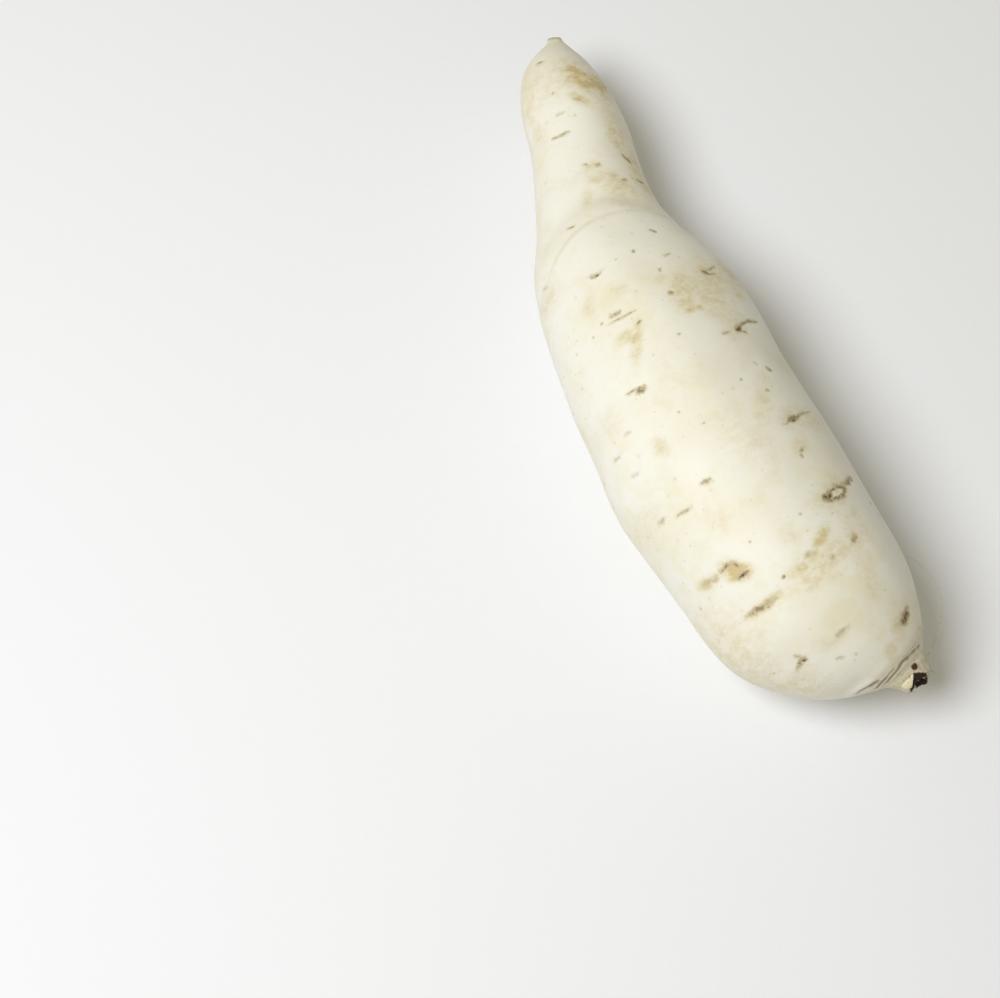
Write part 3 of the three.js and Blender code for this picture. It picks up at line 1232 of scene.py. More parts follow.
class MarkGroup:
    """The node group that draws one sheet of marks from the coordinates kept on the mesh.

    Its ink tells how deep a mark's colour is: 0 is clean skin, 0.5 tan, 0.95 brown and 1.4 nearly
    black.
    """

    HALO = 1.0  # how far the tan edge of a mark reaches

    def __init__(self) -> None:
        """Builds the group."""
        number, colour = "NodeSocketFloat", "NodeSocketColor"
        inputs = {
            "Place": colour, "Heavy": number, "Shape": colour, "Rag": number, "Look": colour, "Depth": number,
        }
        outputs = {"Core": number, "Ink": number, "Height": number}
        self.tree, self.graph = new_group("skin_mark", inputs, outputs)
        self._fill()

    def _fill(self) -> None:
        """Fills the group."""
        g = self.graph
        given = g.add("NodeGroupInput").outputs
        u, v, near = g.parts(given["Place"])
        half_length, half_width, dark = g.parts(given["Shape"])
        halo_share, ring, cork = g.parts(given["Look"])
        where = g.object_place()
        on = g.math("GREATER_THAN", near, 0.98)

        u, v = self._swayed(u, v, half_width, given["Rag"], where)
        swell = g.total(1.25, g.product(g.centred(g.noise(where, 1.8, 1.0)), given["Rag"], 2.1))
        away = self._away(u, v, half_length, g.product(half_width, swell))
        speck = g.noise(where, 0.55, 2.0, 0.6)
        ragged = g.product(g.centred(speck), given["Rag"])
        edge = g.total(away, ragged)
        pale_middle = g.product(g.rest(g.step(edge, 0.25, 0.62)), ring)
        core = g.product(g.rest(g.step(edge, 0.25, 1.3)), g.rest(pale_middle), on)

        far = self._away(u, v, g.total(half_length, self.HALO), g.total(half_width, self.HALO))
        far = g.total(far, g.product(ragged, 0.4))
        patchy = g.total(0.12, g.product(g.noise(where, 1.9, 2.0, 0.55), 0.5))
        clear = g.rest(g.product(pale_middle, 0.7))
        halo = g.product(g.rest(g.step(far, 0.1, 1.0)), halo_share, patchy, on, clear)

        level = self._level(u, half_length, cork, given["Heavy"], where)
        deep = g.total(0.8, g.product(g.rest(g.step(edge, 0.0, 0.9)), 0.4))
        ink = g.product(core, level, deep, dark)
        crumbs = g.product(speck, cork, core, 0.14)
        height = g.math("SUBTRACT", crumbs, g.product(core, given["Depth"]))
        g.add("NodeGroupOutput", {"Core": core, "Ink": g.math("MAXIMUM", ink, halo), "Height": height})

    def _swayed(
        self, u: Socket, v: Socket, half_width: Socket, rag: Socket, where: Socket
    ) -> tuple[Socket, Socket]:
        """A mark's own coordinates, moved about so that its outline wavers."""
        g = self.graph
        slow_u, slow_v, _ = g.parts(g.noise_node(where, 2.6, 1.0).outputs["Color"])
        _, quick_v, _ = g.parts(g.noise_node(where, 0.8, 1.0).outputs["Color"])
        reach = g.product(rag, g.total(0.7, g.product(half_width, 1.9)))
        along = g.total(u, g.product(g.centred(slow_u), reach, 1.6))
        across = g.total(v, g.product(g.centred(slow_v), reach), g.product(g.centred(quick_v), 0.35))
        return along, across

    def _level(self, u: Socket, half_length: Socket, cork: Socket, heavy: Socket, where: Socket) -> Socket:
        """How deep the ink is: beaded in a crack, crumbly in cork, stronger at the heavy end."""
        g = self.graph
        beads = g.step(g.noise(where, 1.3, 2.0), 0.38, 0.6)
        crumbs = g.step(g.noise(where, 1.9, 3.0, 0.6), 0.5, 0.62)
        cracked = g.total(0.55, g.product(beads, 0.48))
        corky = g.total(0.36, g.product(crumbs, 0.7))
        end = g.centred(g.step(g.math("DIVIDE", u, half_length), -1.0, 1.0))
        lean = g.total(0.95, g.product(end, heavy, 0.8))
        return g.product(g.mix(cork, cracked, corky), lean)

    def _away(self, u: Socket, v: Socket, half_length: Socket, half_width: Socket) -> Socket:
        """Distance from the mark's middle, 1 on its outline, which has blunt ends."""
        g = self.graph
        along = g.math("POWER", g.math("ABSOLUTE", g.math("DIVIDE", u, half_length)), 3.0)
        across = g.math("POWER", g.math("DIVIDE", v, half_width), 2.0)
        return g.math("SQRT", g.math("ADD", along, across))

    def use(self, g: Graph, sheet: str) -> dict[str, Socket]:
        """Places the group in a material for one sheet.

        Args:
            g: the material's graph.
            sheet: the sheet's name.

        Returns:
            The group's results by name.
        """
        place, heavy = g.attribute(f"{sheet}_place")
        shape, rag = g.attribute(f"{sheet}_shape")
        look, depth = g.attribute(f"{sheet}_look")
        given = {"Place": place, "Heavy": heavy, "Shape": shape, "Rag": rag, "Look": look, "Depth": depth}
        return g.group(self.tree, given)


class PaleMottle:
    """The node group for the cream skin's soft mottle, freckles and fine grain."""

    def __init__(self) -> None:
        """Builds the group."""
        number, colour = "NodeSocketFloat", "NodeSocketColor"
        inputs = {"Pale": colour, "Warm": colour, "Freckle": colour, "Straw": number}
        outputs = {"Colour": colour, "Gloss": number, "Height": number}
        self.tree, self.graph = new_group("pale_mottle", inputs, outputs)
        self._fill()

    def _fill(self) -> None:
        """Fills the group."""
        g = self.graph
        given = g.add("NodeGroupInput").outputs
        where = g.object_place()
        around = g.stretched(where, (0.45, 1.0, 1.0))
        broad = g.noise(where, 26, 2.0, 0.5)
        patchy = g.noise(where, 9, 3.0, 0.6)
        fine = g.noise(where, 2.4, 3.0, 0.6)
        mottle = g.total(
            g.step(broad, 0.4, 0.7),
            g.product(g.step(patchy, 0.5, 0.64), 0.7),
            g.product(g.step(fine, 0.48, 0.68), 0.35),
        )
        warmth = g.math("ADD", g.product(mottle, 0.36), given["Straw"], clamp=True)
        colour = g.blend(warmth, given["Pale"], given["Warm"])

        cells = g.add("ShaderNodeTexVoronoi", {"Vector": where, "Scale": 1 / (2.6 * MM), "Randomness": 1.0})
        chosen = g.math("GREATER_THAN", g.parts(cells.outputs["Color"])[0], 0.62)
        dot = g.product(g.rest(g.step(cells.outputs["Distance"], 0.04, 0.22)), chosen, patchy, 0.6)
        colour = g.blend(dot, colour, given["Freckle"])

        gloss = g.total(g.product(patchy, 0.5), g.product(fine, 0.5))
        skin_grain = g.noise(around, 0.5, 3.0, 0.65)
        rumple = g.noise(around, 3.2, 2.0, 0.5)
        height = g.total(g.product(skin_grain, 0.022), g.product(rumple, 0.05), g.product(dot, -0.03))
        g.add("NodeGroupOutput", {"Colour": colour, "Gloss": gloss, "Height": height})

    def use(self, g: Graph, pale: Colour, warm: Colour, freckle: Colour, straw: Socket) -> dict[str, Socket]:
        """Places the group in a material.

        Args:
            g: the material's graph.
            pale: the palest skin.
            warm: the warmer skin between.
            freckle: the tiny pores.
            straw: how far the skin turns to the warm colour, as a socket, which also carries painted warm
                shade.

        Returns:
            The group's results by name.
        """
        given = {"Pale": rgba(pale), "Warm": rgba(warm), "Freckle": rgba(freckle), "Straw": straw}
        return g.group(self.tree, given)


@dataclass(frozen=True)
class CreamSkin:
    """The root's finish: satin cream skin with its marks, furrows and torn stump.

    Attributes:
        pale: the palest skin.
        warm: the warmer skin between.
        freckle: the tiny pores.
        ochre: the middle of a stain.
        tan: the edge of a mark, the painted shade in the crease and the wrinkled crown.
        cork: the brown of a mark.
        crack: the darkest middle of a mark.
        stump_dark: the dark brown at the edge of the stump's hollow, on its darkened rim and in its dots.
        fibre: the dry fibres of the stump.
        dry: the shade between the fibres, and the root tip's scar.
        groove: the furrows of the crown.
        hollow: the bottom of the stump's hollow.
        satin: roughness of the clean skin.
        dull: roughness of the marks and of the stump.
        shine: strength of the skin's sheen.
        glow: share of the light that passes under the skin.
        glow_tint: how far each colour of that light goes, as a share of glow_depth.
        glow_depth: how far it goes, in millimetres.
    """

    pale: Colour = (0.85, 0.842, 0.78)
    warm: Colour = (0.77, 0.715, 0.50)
    freckle: Colour = (0.52, 0.48, 0.38)
    ochre: Colour = (0.62, 0.505, 0.27)
    tan: Colour = (0.57, 0.50, 0.345)
    cork: Colour = (0.34, 0.265, 0.15)
    crack: Colour = (0.12, 0.085, 0.045)
    stump_dark: Colour = (0.085, 0.035, 0.014)
    fibre: Colour = (0.70, 0.665, 0.53)
    dry: Colour = (0.30, 0.27, 0.20)
    groove: Colour = (0.24, 0.18, 0.10)
    hollow: Colour = (0.022, 0.013, 0.008)
    satin: float = 0.46
    dull: float = 0.85
    shine: float = 0.42
    glow: float = 0.12
    glow_tint: Colour = (1.0, 0.75, 0.4)
    glow_depth: float = 1.5

    def material(self) -> bpy.types.Material:
        """Makes the finish."""
        made, g, shader = new_material("cream_skin")
        # The straw share is partly painted warm shade on the underside and partly the straw skin at the tip
        # and the crown.
        zones, straw = g.attribute("skin_zones")
        stain, crease, cap = g.parts(zones)
        crown, furrow = g.attribute("crown_zones")
        fibrous, hollow, collar = g.parts(crown)
        where = g.object_place()

        skin = PaleMottle().use(g, self.pale, self.warm, self.freckle, straw)
        colour = self._stained(g, skin["Colour"], stain, crease, where)
        rough = g.total(self.satin, g.product(skin["Gloss"], 0.14))
        height = skin["Height"]
        group = MarkGroup()
        ink = 0.0
        for sheet in SHEET_NAMES:
            marks = group.use(g, sheet)
            ink = g.math("MAXIMUM", marks["Ink"], ink)
            rough = g.mix(marks["Core"], rough, self.dull)
            height = g.total(height, marks["Height"])
        colour = self._inked(g, colour, ink)
        colour, rough, height = self._crowned(g, colour, rough, height, (furrow, fibrous, hollow, collar))
        colour = g.blend(g.product(cap, 0.9), colour, rgba(self.dry))

        g.feed(shader.inputs["Base Color"], colour)
        g.feed(shader.inputs["Roughness"], rough)
        g.feed(shader.inputs["Normal"], g.bump(height, MM))
        shader.inputs["Specular IOR Level"].default_value = self.shine
        shader.inputs["Subsurface Weight"].default_value = self.glow
        shader.inputs["Subsurface Radius"].default_value = self.glow_tint
        shader.inputs["Subsurface Scale"].default_value = self.glow_depth * MM
        return made

    def _stained(self, g: Graph, colour: Socket, stain: Socket, crease: Socket, where: Socket) -> Socket:
        """Tints the skin in its tan patches, and darkens the shoulder's crease with tan as painted shade in
        the fold over its faint tan line.
        """
        around = g.stretched(where, (0.6, 1.0, 1.0))
        cloud = g.total(g.noise(around, 4.0, 3.0, 0.6), g.product(g.noise(around, 1.4, 2.0, 0.6), 0.5))
        patch = g.product(stain, g.total(0.2, g.step(cloud, 0.6, 0.95)))
        soft = g.math("MULTIPLY", stain, g.total(0.35, g.product(cloud, 0.25)), clamp=True)
        warmed = g.blend(soft, colour, rgba(self.warm))
        tinted = g.blend(g.math("MULTIPLY", patch, 0.7, clamp=True), warmed, rgba(self.ochre))
        # The crease turns darker tan: painted shade in the bottom of the fold, over the faint tan line the
        # skin has there.
        return g.blend(g.product(crease, 0.32), tinted, rgba(self.tan))

    def _inked(self, g: Graph, colour: Socket, ink: Socket) -> Socket:
        """Paints the marks over the skin: tan, then brown, then nearly black."""
        tinted = g.blend(g.step(ink, 0.02, 0.5), colour, rgba(self.tan))
        browned = g.blend(g.step(ink, 0.42, 0.95), tinted, rgba(self.cork))
        return g.blend(g.step(ink, 0.95, 1.4), browned, rgba(self.crack))

    def _crowned(
        self, g: Graph, colour: Socket, rough: Socket, height: Socket, zones: tuple[Socket, ...]
    ) -> tuple[Socket, Socket, Socket]:
        """Adds the crown's furrows, the fibrous stump and its hollow.

        Args:
            g: the material's graph.
            colour: the skin's colour so far.
            rough: its roughness so far.
            height: its relief so far.
            zones: furrow, fibrous, hollow and collar shares.

        Returns:
            The new colour, roughness and relief.
        """
        furrow, fibrous, hollow, collar = zones
        where = g.object_place()
        streaks = g.noise(g.stretched(where, (7.0, 1.0, 1.0), (0, 15, 22)), 0.5, 3.0, 0.65)
        wrinkles = g.noise(where, 1.4, 3.0, 0.6)
        fibre = g.blend(g.step(streaks, 0.3, 0.62), rgba(self.dry), rgba(self.fibre))
        patchy_fibre = g.blend(g.step(wrinkles, 0.4, 0.62), fibre, rgba(self.fibre))
        colour = g.blend(g.product(fibrous, 0.8), colour, patchy_fibre)
        wrinkled = g.total(0.42, g.product(g.step(wrinkles, 0.45, 0.7), 0.4))
        dusk = g.product(g.step(collar, 0.5, 1.0), wrinkled)
        colour = g.blend(dusk, colour, rgba(self.tan))
        colour = g.blend(g.product(g.step(furrow, 0.05, 0.8), 0.8), colour, rgba(self.groove))
        colour = g.blend(g.step(hollow, 0.0, 0.6), colour, rgba(self.stump_dark))
        colour = g.blend(g.step(hollow, 0.7, 1.0), colour, rgba(self.hollow))
        rough = g.mix(g.math("MAXIMUM", fibrous, hollow), rough, self.dull)
        ribs = g.product(streaks, fibrous, 0.3)
        creases = g.product(wrinkles, collar, 0.1)
        height = g.total(height, g.product(furrow, -0.12), ribs, creases)
        return colour, rough, height


@dataclass(frozen=True)
class DryFibre:
    """Dry plant matter, unevenly streaked.

    Attributes:
        pale: its paler streaks.
        dark: its darker ones.
        name: the material's name.
        rough: its roughness.
    """

    pale: Colour
    dark: Colour
    name: str
    rough: float = 0.8

    def material(self) -> bpy.types.Material:
        """Makes the finish."""
        made, g, shader = new_material(self.name)
        streaks = g.noise(g.object_place(), 0.8, 3.0, 0.65)
        colour = g.blend(g.step(streaks, 0.35, 0.65), rgba(self.dark), rgba(self.pale))
        g.feed(shader.inputs["Base Color"], colour)
        g.feed(shader.inputs["Normal"], g.bump(streaks, 0.2 * MM))
        shader.inputs["Roughness"].default_value = self.rough
        return made


ROOT_HAIR = DryFibre((0.62, 0.54, 0.38), (0.36, 0.28, 0.16), "root_hair")
STUMP_FIBRE = DryFibre((0.62, 0.58, 0.45), (0.36, 0.31, 0.22), "stump_fibre")
FRESH_FLESH = DryFibre((0.76, 0.71, 0.52), (0.62, 0.55, 0.37), "fresh_flesh")


@dataclass(frozen=True)
class FloorPaper:
    """The plain pale floor.

    Attributes:
        tone: its colour.
        rough: its roughness.
    """

    tone: Colour = (0.87, 0.89, 0.97)
    rough: float = 0.9

    def material(self) -> bpy.types.Material:
        """Makes the finish."""
        made, g, shader = new_material("pale_floor")
        shader.inputs["Base Color"].default_value = rgba(self.tone)
        shader.inputs["Roughness"].default_value = self.rough
        tooth = g.noise(g.object_place(), 1.2, 3.0, 0.6)
        g.feed(shader.inputs["Normal"], g.bump(tooth, 0.05 * MM))
        return made


# ------------------------------------------------------------------ pieces


@dataclass
class RootSkin:
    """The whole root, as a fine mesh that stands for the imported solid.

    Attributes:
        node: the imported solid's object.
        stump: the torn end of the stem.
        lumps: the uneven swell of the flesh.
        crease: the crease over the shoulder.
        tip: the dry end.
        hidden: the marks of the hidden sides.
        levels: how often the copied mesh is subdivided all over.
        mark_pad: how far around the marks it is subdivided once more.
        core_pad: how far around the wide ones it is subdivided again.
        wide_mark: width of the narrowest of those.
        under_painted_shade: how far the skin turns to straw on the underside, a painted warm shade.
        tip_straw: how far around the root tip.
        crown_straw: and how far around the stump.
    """

    node: bpy.types.Object
    stump: Stump = field(default_factory=Stump)
    lumps: Lumps = Lumps()
    crease: ShoulderCrease = ShoulderCrease()
    tip: RootTip = RootTip()
    hidden: HiddenSides = HiddenSides()
    levels: int = 2
    mark_pad: float = 1.0
    core_pad: float = 0.25
    wide_mark: float = 1.2
    under_painted_shade: float = 0.42
    tip_straw: float = 0.5
    crown_straw: float = 0.12

    def build(self) -> bpy.types.Object:
        """Builds and dresses the root.

        Returns:
            The finished piece.
        """
        self.piece = self._copied()
        self.shape = RootShape(self.piece.data)
        self.stump.find_rim(self.shape)
        self.marks = SkinMarks(self.shape, SLITS + SCARS + SPOTS + self.hidden.marks())
        self._smooth()
        self._refine(lambda points: self.marks.near_any(points, self.mark_pad, SkinMarks.LEAST_SUNK))
        self._refine(self._is_finest)
        self._shape_skin()
        self.piece.data.materials.clear()
        self.piece.data.materials.append(CreamSkin().material())
        return self.piece

    def _copied(self) -> bpy.types.Object:
        """A copy of the solid's mesh with its loose triangles merged and paired."""
        piece = bpy.data.objects.new("root_skin", self.node.data.copy())
        bpy.context.scene.collection.objects.link(piece)
        select_only(piece)
        with whole_mesh_selected():
            bpy.ops.mesh.remove_doubles(threshold=0.01 * MM)
            bpy.ops.mesh.tris_convert_to_quads(
                face_threshold=math.radians(60), shape_threshold=math.radians(80)
            )
        bpy.ops.mesh.customdata_custom_splitnormals_clear()
        return piece

    def _smooth(self) -> None:
        """Subdivides the whole skin and shades it smooth."""
        select_only(self.piece)
        smoother = self.piece.modifiers.new("smooth", "SUBSURF")
        smoother.levels = self.levels
        smoother.render_levels = self.levels
        bpy.ops.object.modifier_apply(modifier=smoother.name)
        bpy.ops.object.shade_smooth()

    def _is_finest(self, points: np.ndarray) -> np.ndarray:
        """True for the points of the widest marks and of the crown."""
        return self.marks.near_any(points, self.core_pad, self.wide_mark) | self.stump.near(points)

    def _refine(self, choose: Callable[[np.ndarray], np.ndarray]) -> None:
        """Subdivides some faces once.

        Args:
            choose: tells which faces, from their centres in millimetres.
        """
        mesh = self.piece.data
        centres = np.empty(len(mesh.polygons) * 3)
        mesh.polygons.foreach_get("center", centres)
        chosen = choose(centres.reshape(-1, 3) / MM)
        select_only(self.piece)
        bpy.ops.object.mode_set(mode="EDIT")
        bpy.ops.mesh.select_mode(type="FACE")
        bpy.ops.mesh.select_all(action="DESELECT")
        bpy.ops.object.mode_set(mode="OBJECT")
        mesh.polygons.foreach_set("select", chosen)
        bpy.ops.object.mode_set(mode="EDIT")
        bpy.ops.mesh.subdivide(number_cuts=1)
        bpy.ops.object.mode_set(mode="OBJECT")

    def _polar(self, points: np.ndarray) -> tuple[np.ndarray, np.ndarray]:
        """Angle of each point around the root's middle line, in degrees, and distance from it."""
        y = points[:, 1] - np.interp(points[:, 0], self.shape.slices, self.shape.middles[:, 0])
        z = points[:, 2] - np.interp(points[:, 0], self.shape.slices, self.shape.middles[:, 1])
        return np.degrees(np.arctan2(z, y)) % 360, np.hypot(y, z)

    def _shape_skin(self) -> None:
        """Works the relief into the mesh and keeps what the finish reads."""
        mesh = self.piece.data
        points = read_points(mesh) / MM
        normals = read_normals(mesh)
        around, radius = self._polar(points)
        crease = self.crease.share(points, around)
        furrow_depth, furrow_dark = self.stump.furrow_shares(points)
        crown = self.stump.shares(points)
        cap, blush = self.tip.shares(points)
        stains = self.marks.stain(STAINS + self.hidden.soft_patches(), points)

        calm = 1 - crown[:, 0]
        relief = self.lumps.relief(points) * calm + self.marks.relief(points)
        relief += sum(ridge.relief(points, around, radius) for ridge in RIDGES)
        relief -= self.crease.depth * crease + furrow_depth
        relief += self.tip.swell * cap
        moved = points + normals * relief[:, None] + self.stump.tear(points)
        moved += self.tip.broken_off(moved)
        moved[:, 2] = np.maximum(moved[:, 2], 0)

        # Painted warm shade: skin whose faces look down turns to straw. The straw share also holds the skin's
        # real straw at the tip and the crown.
        under = soft_step(-normals[:, 2], -0.3, 0.8)
        ends = np.maximum(self.tip_straw * blush, self.crown_straw * crown[:, 2])
        straw = np.clip(self.under_painted_shade * under + ends, 0, 1)
        self.marks.write(mesh, points)
        write_values(mesh, "skin_zones", np.column_stack([stains, crease, cap, straw]))
        write_values(mesh, "crown_zones", np.column_stack([crown, furrow_dark]))
        write_points(mesh, moved * MM)


@dataclass(frozen=True)
class Hair:
    """One fine root hair, an arc from its foot on the skin.

    Attributes:
        x: where it grows, along X.
        around: angle of that place.
        bend: where its arc pulls towards, in millimetres from its foot along X, Y and Z.
        end: where its tip is, in millimetres from its foot along X, Y and Z.
    """

    x: float
    around: float
    bend: tuple[float, float, float]
    end: tuple[float, float, float]


HAIRS = [
    Hair(101, 355, (-11, 19.2, 0), (-26.2, 10.8, 0)),
    Hair(96, 262, (3, -3, -4), (-3, -4, -8)),
    Hair(66, 322, (-3, 3, -2), (-9, 2, -5)),
    Hair(-40, 318, (-2, 3, -1), (-7, 2, -4)),
]


@dataclass
class RootHairs:
    """The few fine hairs left after the root was washed, as thin tubes in one piece.

    Attributes:
        shape: the surface that they grow on.
        radius: radius of a hair at its foot.
        tip_share: its radius at its tip, as a share of that.
        stretches: number of stretches of a hair.
        lowest: how low a hair hangs, which is just clear of the floor.
        buried: how far its foot is under the skin.
        wave: how far it waves up and down.
        wave_rate: how far along its wave it gets, in radians.
    """

    shape: RootShape
    radius: float = 0.09
    tip_share: float = 0.25
    stretches: int = 20
    lowest: float = 0.3
    buried: float = 0.3
    wave: float = 0.3
    wave_rate: float = 9

    def _path(self, hair: Hair) -> list[np.ndarray]:
        """Points from a hair's foot, just under the skin, to its tip."""
        place = self.shape.place(hair.x, hair.around)
        foot = place.point - self.buried * place.out
        bend, tip = foot + np.array(hair.bend), foot + np.array(hair.end)
        path = []
        for i in range(self.stretches + 1):
            share = i / self.stretches
            point = (1 - share) ** 2 * foot + 2 * share * (1 - share) * bend + share**2 * tip
            lift = self.wave * math.sin(self.wave_rate * share + hair.x)
            point[2] = max(point[2] + lift, self.lowest)
            path.append(point)
        return path

    def build(self) -> bpy.types.Object:
        """Builds and dresses the hairs.

        Returns:
            The finished piece.
        """
        select_only(*[self._tube(self._path(hair)) for hair in HAIRS])
        bpy.ops.object.convert(target="MESH")
        bpy.ops.object.join()
        piece = bpy.context.view_layer.objects.active
        piece.name = "root_hairs"
        bpy.ops.object.shade_smooth()
        piece.data.materials.append(ROOT_HAIR.material())
        return piece

    def _tube(self, path: list[np.ndarray]) -> bpy.types.Object:
        """A tapering tube along a path."""
        curve = bpy.data.curves.new("hair", "CURVE")
        curve.dimensions = "3D"
        curve.bevel_depth = self.radius * MM
        curve.bevel_resolution = 1
        curve.use_fill_caps = True
        line = curve.splines.new("POLY")
        line.points.add(len(path) - 1)
        for i, point in enumerate(path):
            line.points[i].co = (*(point * MM), 1)
            line.points[i].radius = 1 - (1 - self.tip_share) * i / len(path)
        ob = bpy.data.objects.new("hair", curve)
        bpy.context.scene.collection.objects.link(ob)
        return ob


@dataclass
class StumpFibres:
    """Short splintered strands around the torn rim of the stump.

    Attributes:
        stump: the stump that they stand on.
        seed: what their chances start from.
        strands: number of strands.
        thickness: usual radius of a strand at its foot.
        tip_thickness: its radius at its tip.
        buried: how far below the rim a strand starts.
    """

    stump: Stump
    seed: int = 3
    strands: int = 22
    thickness: float = 0.2
    tip_thickness: float = 0.05
    buried: float = 1.3

    def build(self) -> bpy.types.Object:
        """Builds and dresses the strands.

        Returns:
            The finished piece.
        """
        dice = random.Random(self.seed)
        select_only(*[self._strand(dice, 360 * i / self.strands) for i in range(self.strands)])
        bpy.ops.object.join()
        piece = bpy.context.view_layer.objects.active
        piece.name = "stump_fibres"
        bpy.ops.object.shade_smooth()
        piece.data.materials.append(STUMP_FIBRE.material())
        return piece

    def _strand(self, dice: random.Random, around: float) -> bpy.types.Object:
        """One tapering strand on the rim."""
        stump = self.stump
        around += dice.uniform(-6, 6)
        torn = math.exp(-(((around - stump.notch_around) / stump.notch_spread) ** 2))
        length = dice.uniform(1.2, 2.4) * (1 - 0.3 * torn)
        foot_height = -self.buried - stump.notch_depth * torn
        foot = stump.point(foot_height, stump.rim_radius + dice.uniform(-0.5, 0.1), around)
        lean = dice.uniform(-0.2, 0.15)
        tip_radius = stump.rim_radius + lean * length
        tip = stump.point(foot_height + length, tip_radius, around + dice.uniform(-8, 8))
        middle = Vector((foot + tip) / 2 * MM)
        heading = Vector(tip - foot)
        bpy.ops.object.select_all(action="DESELECT")
        bpy.ops.mesh.primitive_cone_add(
            vertices=6,
            radius1=self.thickness * dice.uniform(0.7, 1.4) * MM,
            radius2=self.tip_thickness * MM,
            depth=heading.length * MM,
            location=middle,
            rotation=heading.to_track_quat("Z", "Y").to_euler(),
        )
        strand = bpy.context.view_layer.objects.active
        bpy.ops.object.transform_apply(location=True, rotation=True, scale=True)
        with whole_mesh_selected():
            bpy.ops.mesh.subdivide(number_cuts=2, fractal=0.2, seed=dice.randint(0, 999))
        return strand


@dataclass
class StumpFlake:
    """The pale flake of fresh flesh that stands at the edge of the torn hollow.

    Attributes:
        stump: the stump that it stands on.
        foot: height of its foot.
        rise: how far it rises to its tip.
        around: angle of the middle of its foot.
        tip_around: angle of its tip.
        spread: angle that its foot covers.
        radius: its distance from the axis.
        thickness: its thickness.
    """

    stump: Stump
    foot: float = -3.65
    rise: float = 2.1
    around: float = 136
    tip_around: float = 140
    spread: float = 58
    radius: float = 4.8
    thickness: float = 0.6

    def build(self) -> bpy.types.Object:
        """Builds and dresses the flake.

        Returns:
            The finished piece.
        """
        bpy.ops.object.select_all(action="DESELECT")
        bpy.ops.mesh.primitive_grid_add(x_subdivisions=12, y_subdivisions=8, size=1, location=(0, 0, 0))
        piece = bpy.context.view_layer.objects.active
        piece.name = "stump_flake"
        flat = read_points(piece.data)
        write_points(piece.data, np.array([self._place(*corner[:2]) for corner in flat]) * MM)
        thick = piece.modifiers.new("thick", "SOLIDIFY")
        thick.thickness = self.thickness * MM
        thick.offset = 0
        bpy.ops.object.modifier_apply(modifier=thick.name)
        with whole_mesh_selected():
            bpy.ops.mesh.normals_make_consistent(inside=False)
        bpy.ops.object.shade_smooth_by_angle(angle=math.radians(50))
        piece.data.materials.append(FRESH_FLESH.material())
        return piece

    def _place(self, across: float, up: float) -> np.ndarray:
        """Where a point of the flat grid, -0.5 to 0.5 both ways, lies on the stump."""
        up += 0.5
        narrow = (1 - up) ** 0.8 + 0.06
        around = self.around + (self.tip_around - self.around) * up + across * self.spread * narrow
        swell = 0.5 * math.sin(math.pi * up) + 0.4 * up
        return self.stump.point(self.foot + self.rise * up, self.radius + swell, around)


# ------------------------------------------------------------------ stage


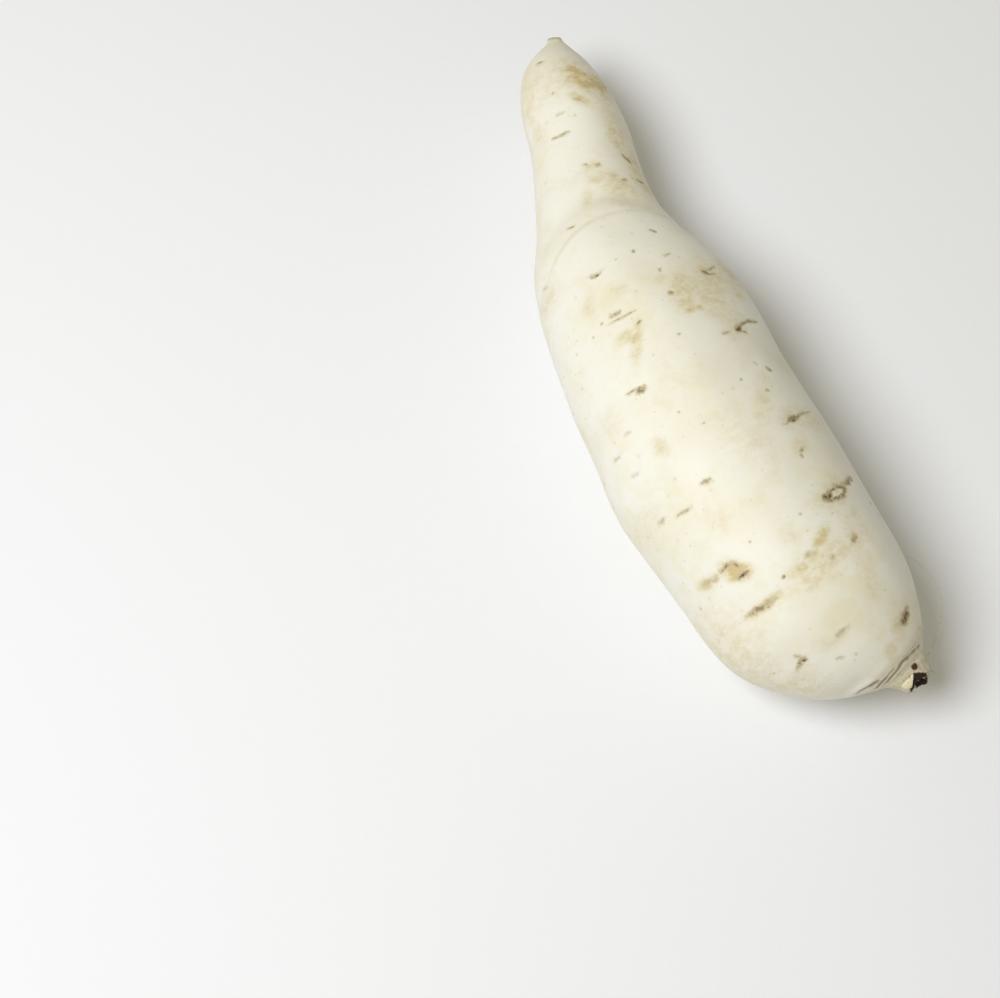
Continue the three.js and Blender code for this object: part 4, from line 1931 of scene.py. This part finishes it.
@dataclass
class Studio:
    """A pale floor, soft light from the upper left and the camera.

    Attributes:
        azimuth: where the camera stands around the root, in degrees.
        elevation: how far it looks down.
        distance: from the camera to the aim along its line of sight.
        lens: focal length of the camera.
        aim: point that the view is laid out from.
        aim_right: how far right of the picture's middle the aim is seen.
        aim_up: how far above the picture's middle the aim is seen.
        key_watts: power of the one lamp.
        key_size: its width, in metres.
        key_distance: how far it hangs from the aim, in metres.
        key_way: which way it hangs from there, towards the camera's back, right and up.
        sky: strength of the light from all round.
        floor_radius: radius of the floor, in metres.
        ceiling: colour of the light from above.
        wall: colour of the light from the sides.
    """

    azimuth: float = 62
    elevation: float = 68
    distance: float = 629
    lens: float = 85
    aim: tuple[float, float, float] = (16.0, 13.7, 28.0)
    aim_right: float = 63.1
    aim_up: float = 26.6
    key_watts: float = 6.7
    key_size: float = 0.5
    key_distance: float = 0.95
    key_way: tuple[float, float, float] = (0.84, -0.44, 0.12)
    sky: float = 0.33
    floor_radius: float = 1.25
    ceiling: Colour = (1.0, 0.925, 0.63)
    wall: Colour = (1.35, 1.33, 1.28)

    def build(self) -> bpy.types.Object:
        """Builds the stage.

        Returns:
            The floor.
        """
        self._directions()
        self._camera()
        self._key()
        self._sky()
        return self._floor()

    def _directions(self) -> None:
        """Works out which way is right, up and back for the camera."""
        a, e = math.radians(self.azimuth), math.radians(self.elevation)
        self.back = Vector((math.sin(a) * math.cos(e), -math.cos(a) * math.cos(e), math.sin(e)))
        self.right = Vector((math.cos(a), math.sin(a), 0))
        self.up = self.back.cross(self.right)

    def _camera(self) -> None:
        """Sets the camera down."""
        data = bpy.data.cameras.new("camera")
        data.lens = self.lens
        data.clip_start = 0.02
        camera = bpy.data.objects.new("camera", data)
        bpy.context.scene.collection.objects.link(camera)
        centre = Vector(self.aim) - self.right * self.aim_right - self.up * self.aim_up
        camera.location = (centre + self.back * self.distance) * MM
        camera.rotation_euler = (-self.back).to_track_quat("-Z", "Y").to_euler()
        bpy.context.scene.camera = camera

    def _key(self) -> None:
        """Hangs a large soft light, up and to the left of the camera."""
        back, right, up = self.key_way
        way = (self.back * back + self.right * right + self.up * up).normalized()
        data = bpy.data.lights.new("key", "AREA")
        data.shape = "DISK"
        data.size = self.key_size
        data.energy = self.key_watts
        light = bpy.data.objects.new("key", data)
        bpy.context.scene.collection.objects.link(light)
        light.location = Vector(self.aim) * MM + way * self.key_distance
        light.rotation_euler = way.to_track_quat("Z", "Y").to_euler()

    def _sky(self) -> None:
        """Fills the room with soft light, warm from above and neutral behind the floor."""
        world = bpy.data.worlds.new("room")
        world.use_nodes = True
        background = world.node_tree.nodes["Background"]
        g = Graph(world.node_tree)
        height = g.parts(g.add("ShaderNodeTexCoord").outputs["Generated"])[2]
        colour = g.blend(g.step(height, 0.2, 0.5), rgba(self.wall), rgba(self.ceiling))
        g.feed(background.inputs["Color"], colour)
        background.inputs["Strength"].default_value = self.sky
        bpy.context.scene.world = world
        bpy.context.scene.view_settings.view_transform = "Standard"

    def _floor(self) -> bpy.types.Object:
        """Lays the floor just under the root."""
        bpy.ops.object.select_all(action="DESELECT")
        bpy.ops.mesh.primitive_circle_add(
            vertices=96, radius=self.floor_radius, fill_type="NGON", location=(0, 0, 0)
        )
        floor = bpy.context.view_layer.objects.active
        floor.name = "floor"
        floor.data.materials.append(FloorPaper().material())
        return floor


def main() -> None:
    """Builds the dressed root and its stage."""
    logging.basicConfig(level=logging.INFO, format="%(message)s")
    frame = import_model()
    floor = Studio().build()

    skin = RootSkin(frame["nodes"][NODE])
    pieces = [skin.build(), StumpFibres(skin.stump).build(), StumpFlake(skin.stump).build()]
    pieces.append(RootHairs(skin.shape).build())
    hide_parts(NODE)
    for piece in pieces:
        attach(piece, BODY)
        piece.data.calc_loop_triangles()
        LOG.info("%s: %d triangles", piece.name, len(piece.data.loop_triangles))


if __name__ == "__main__":
    main()
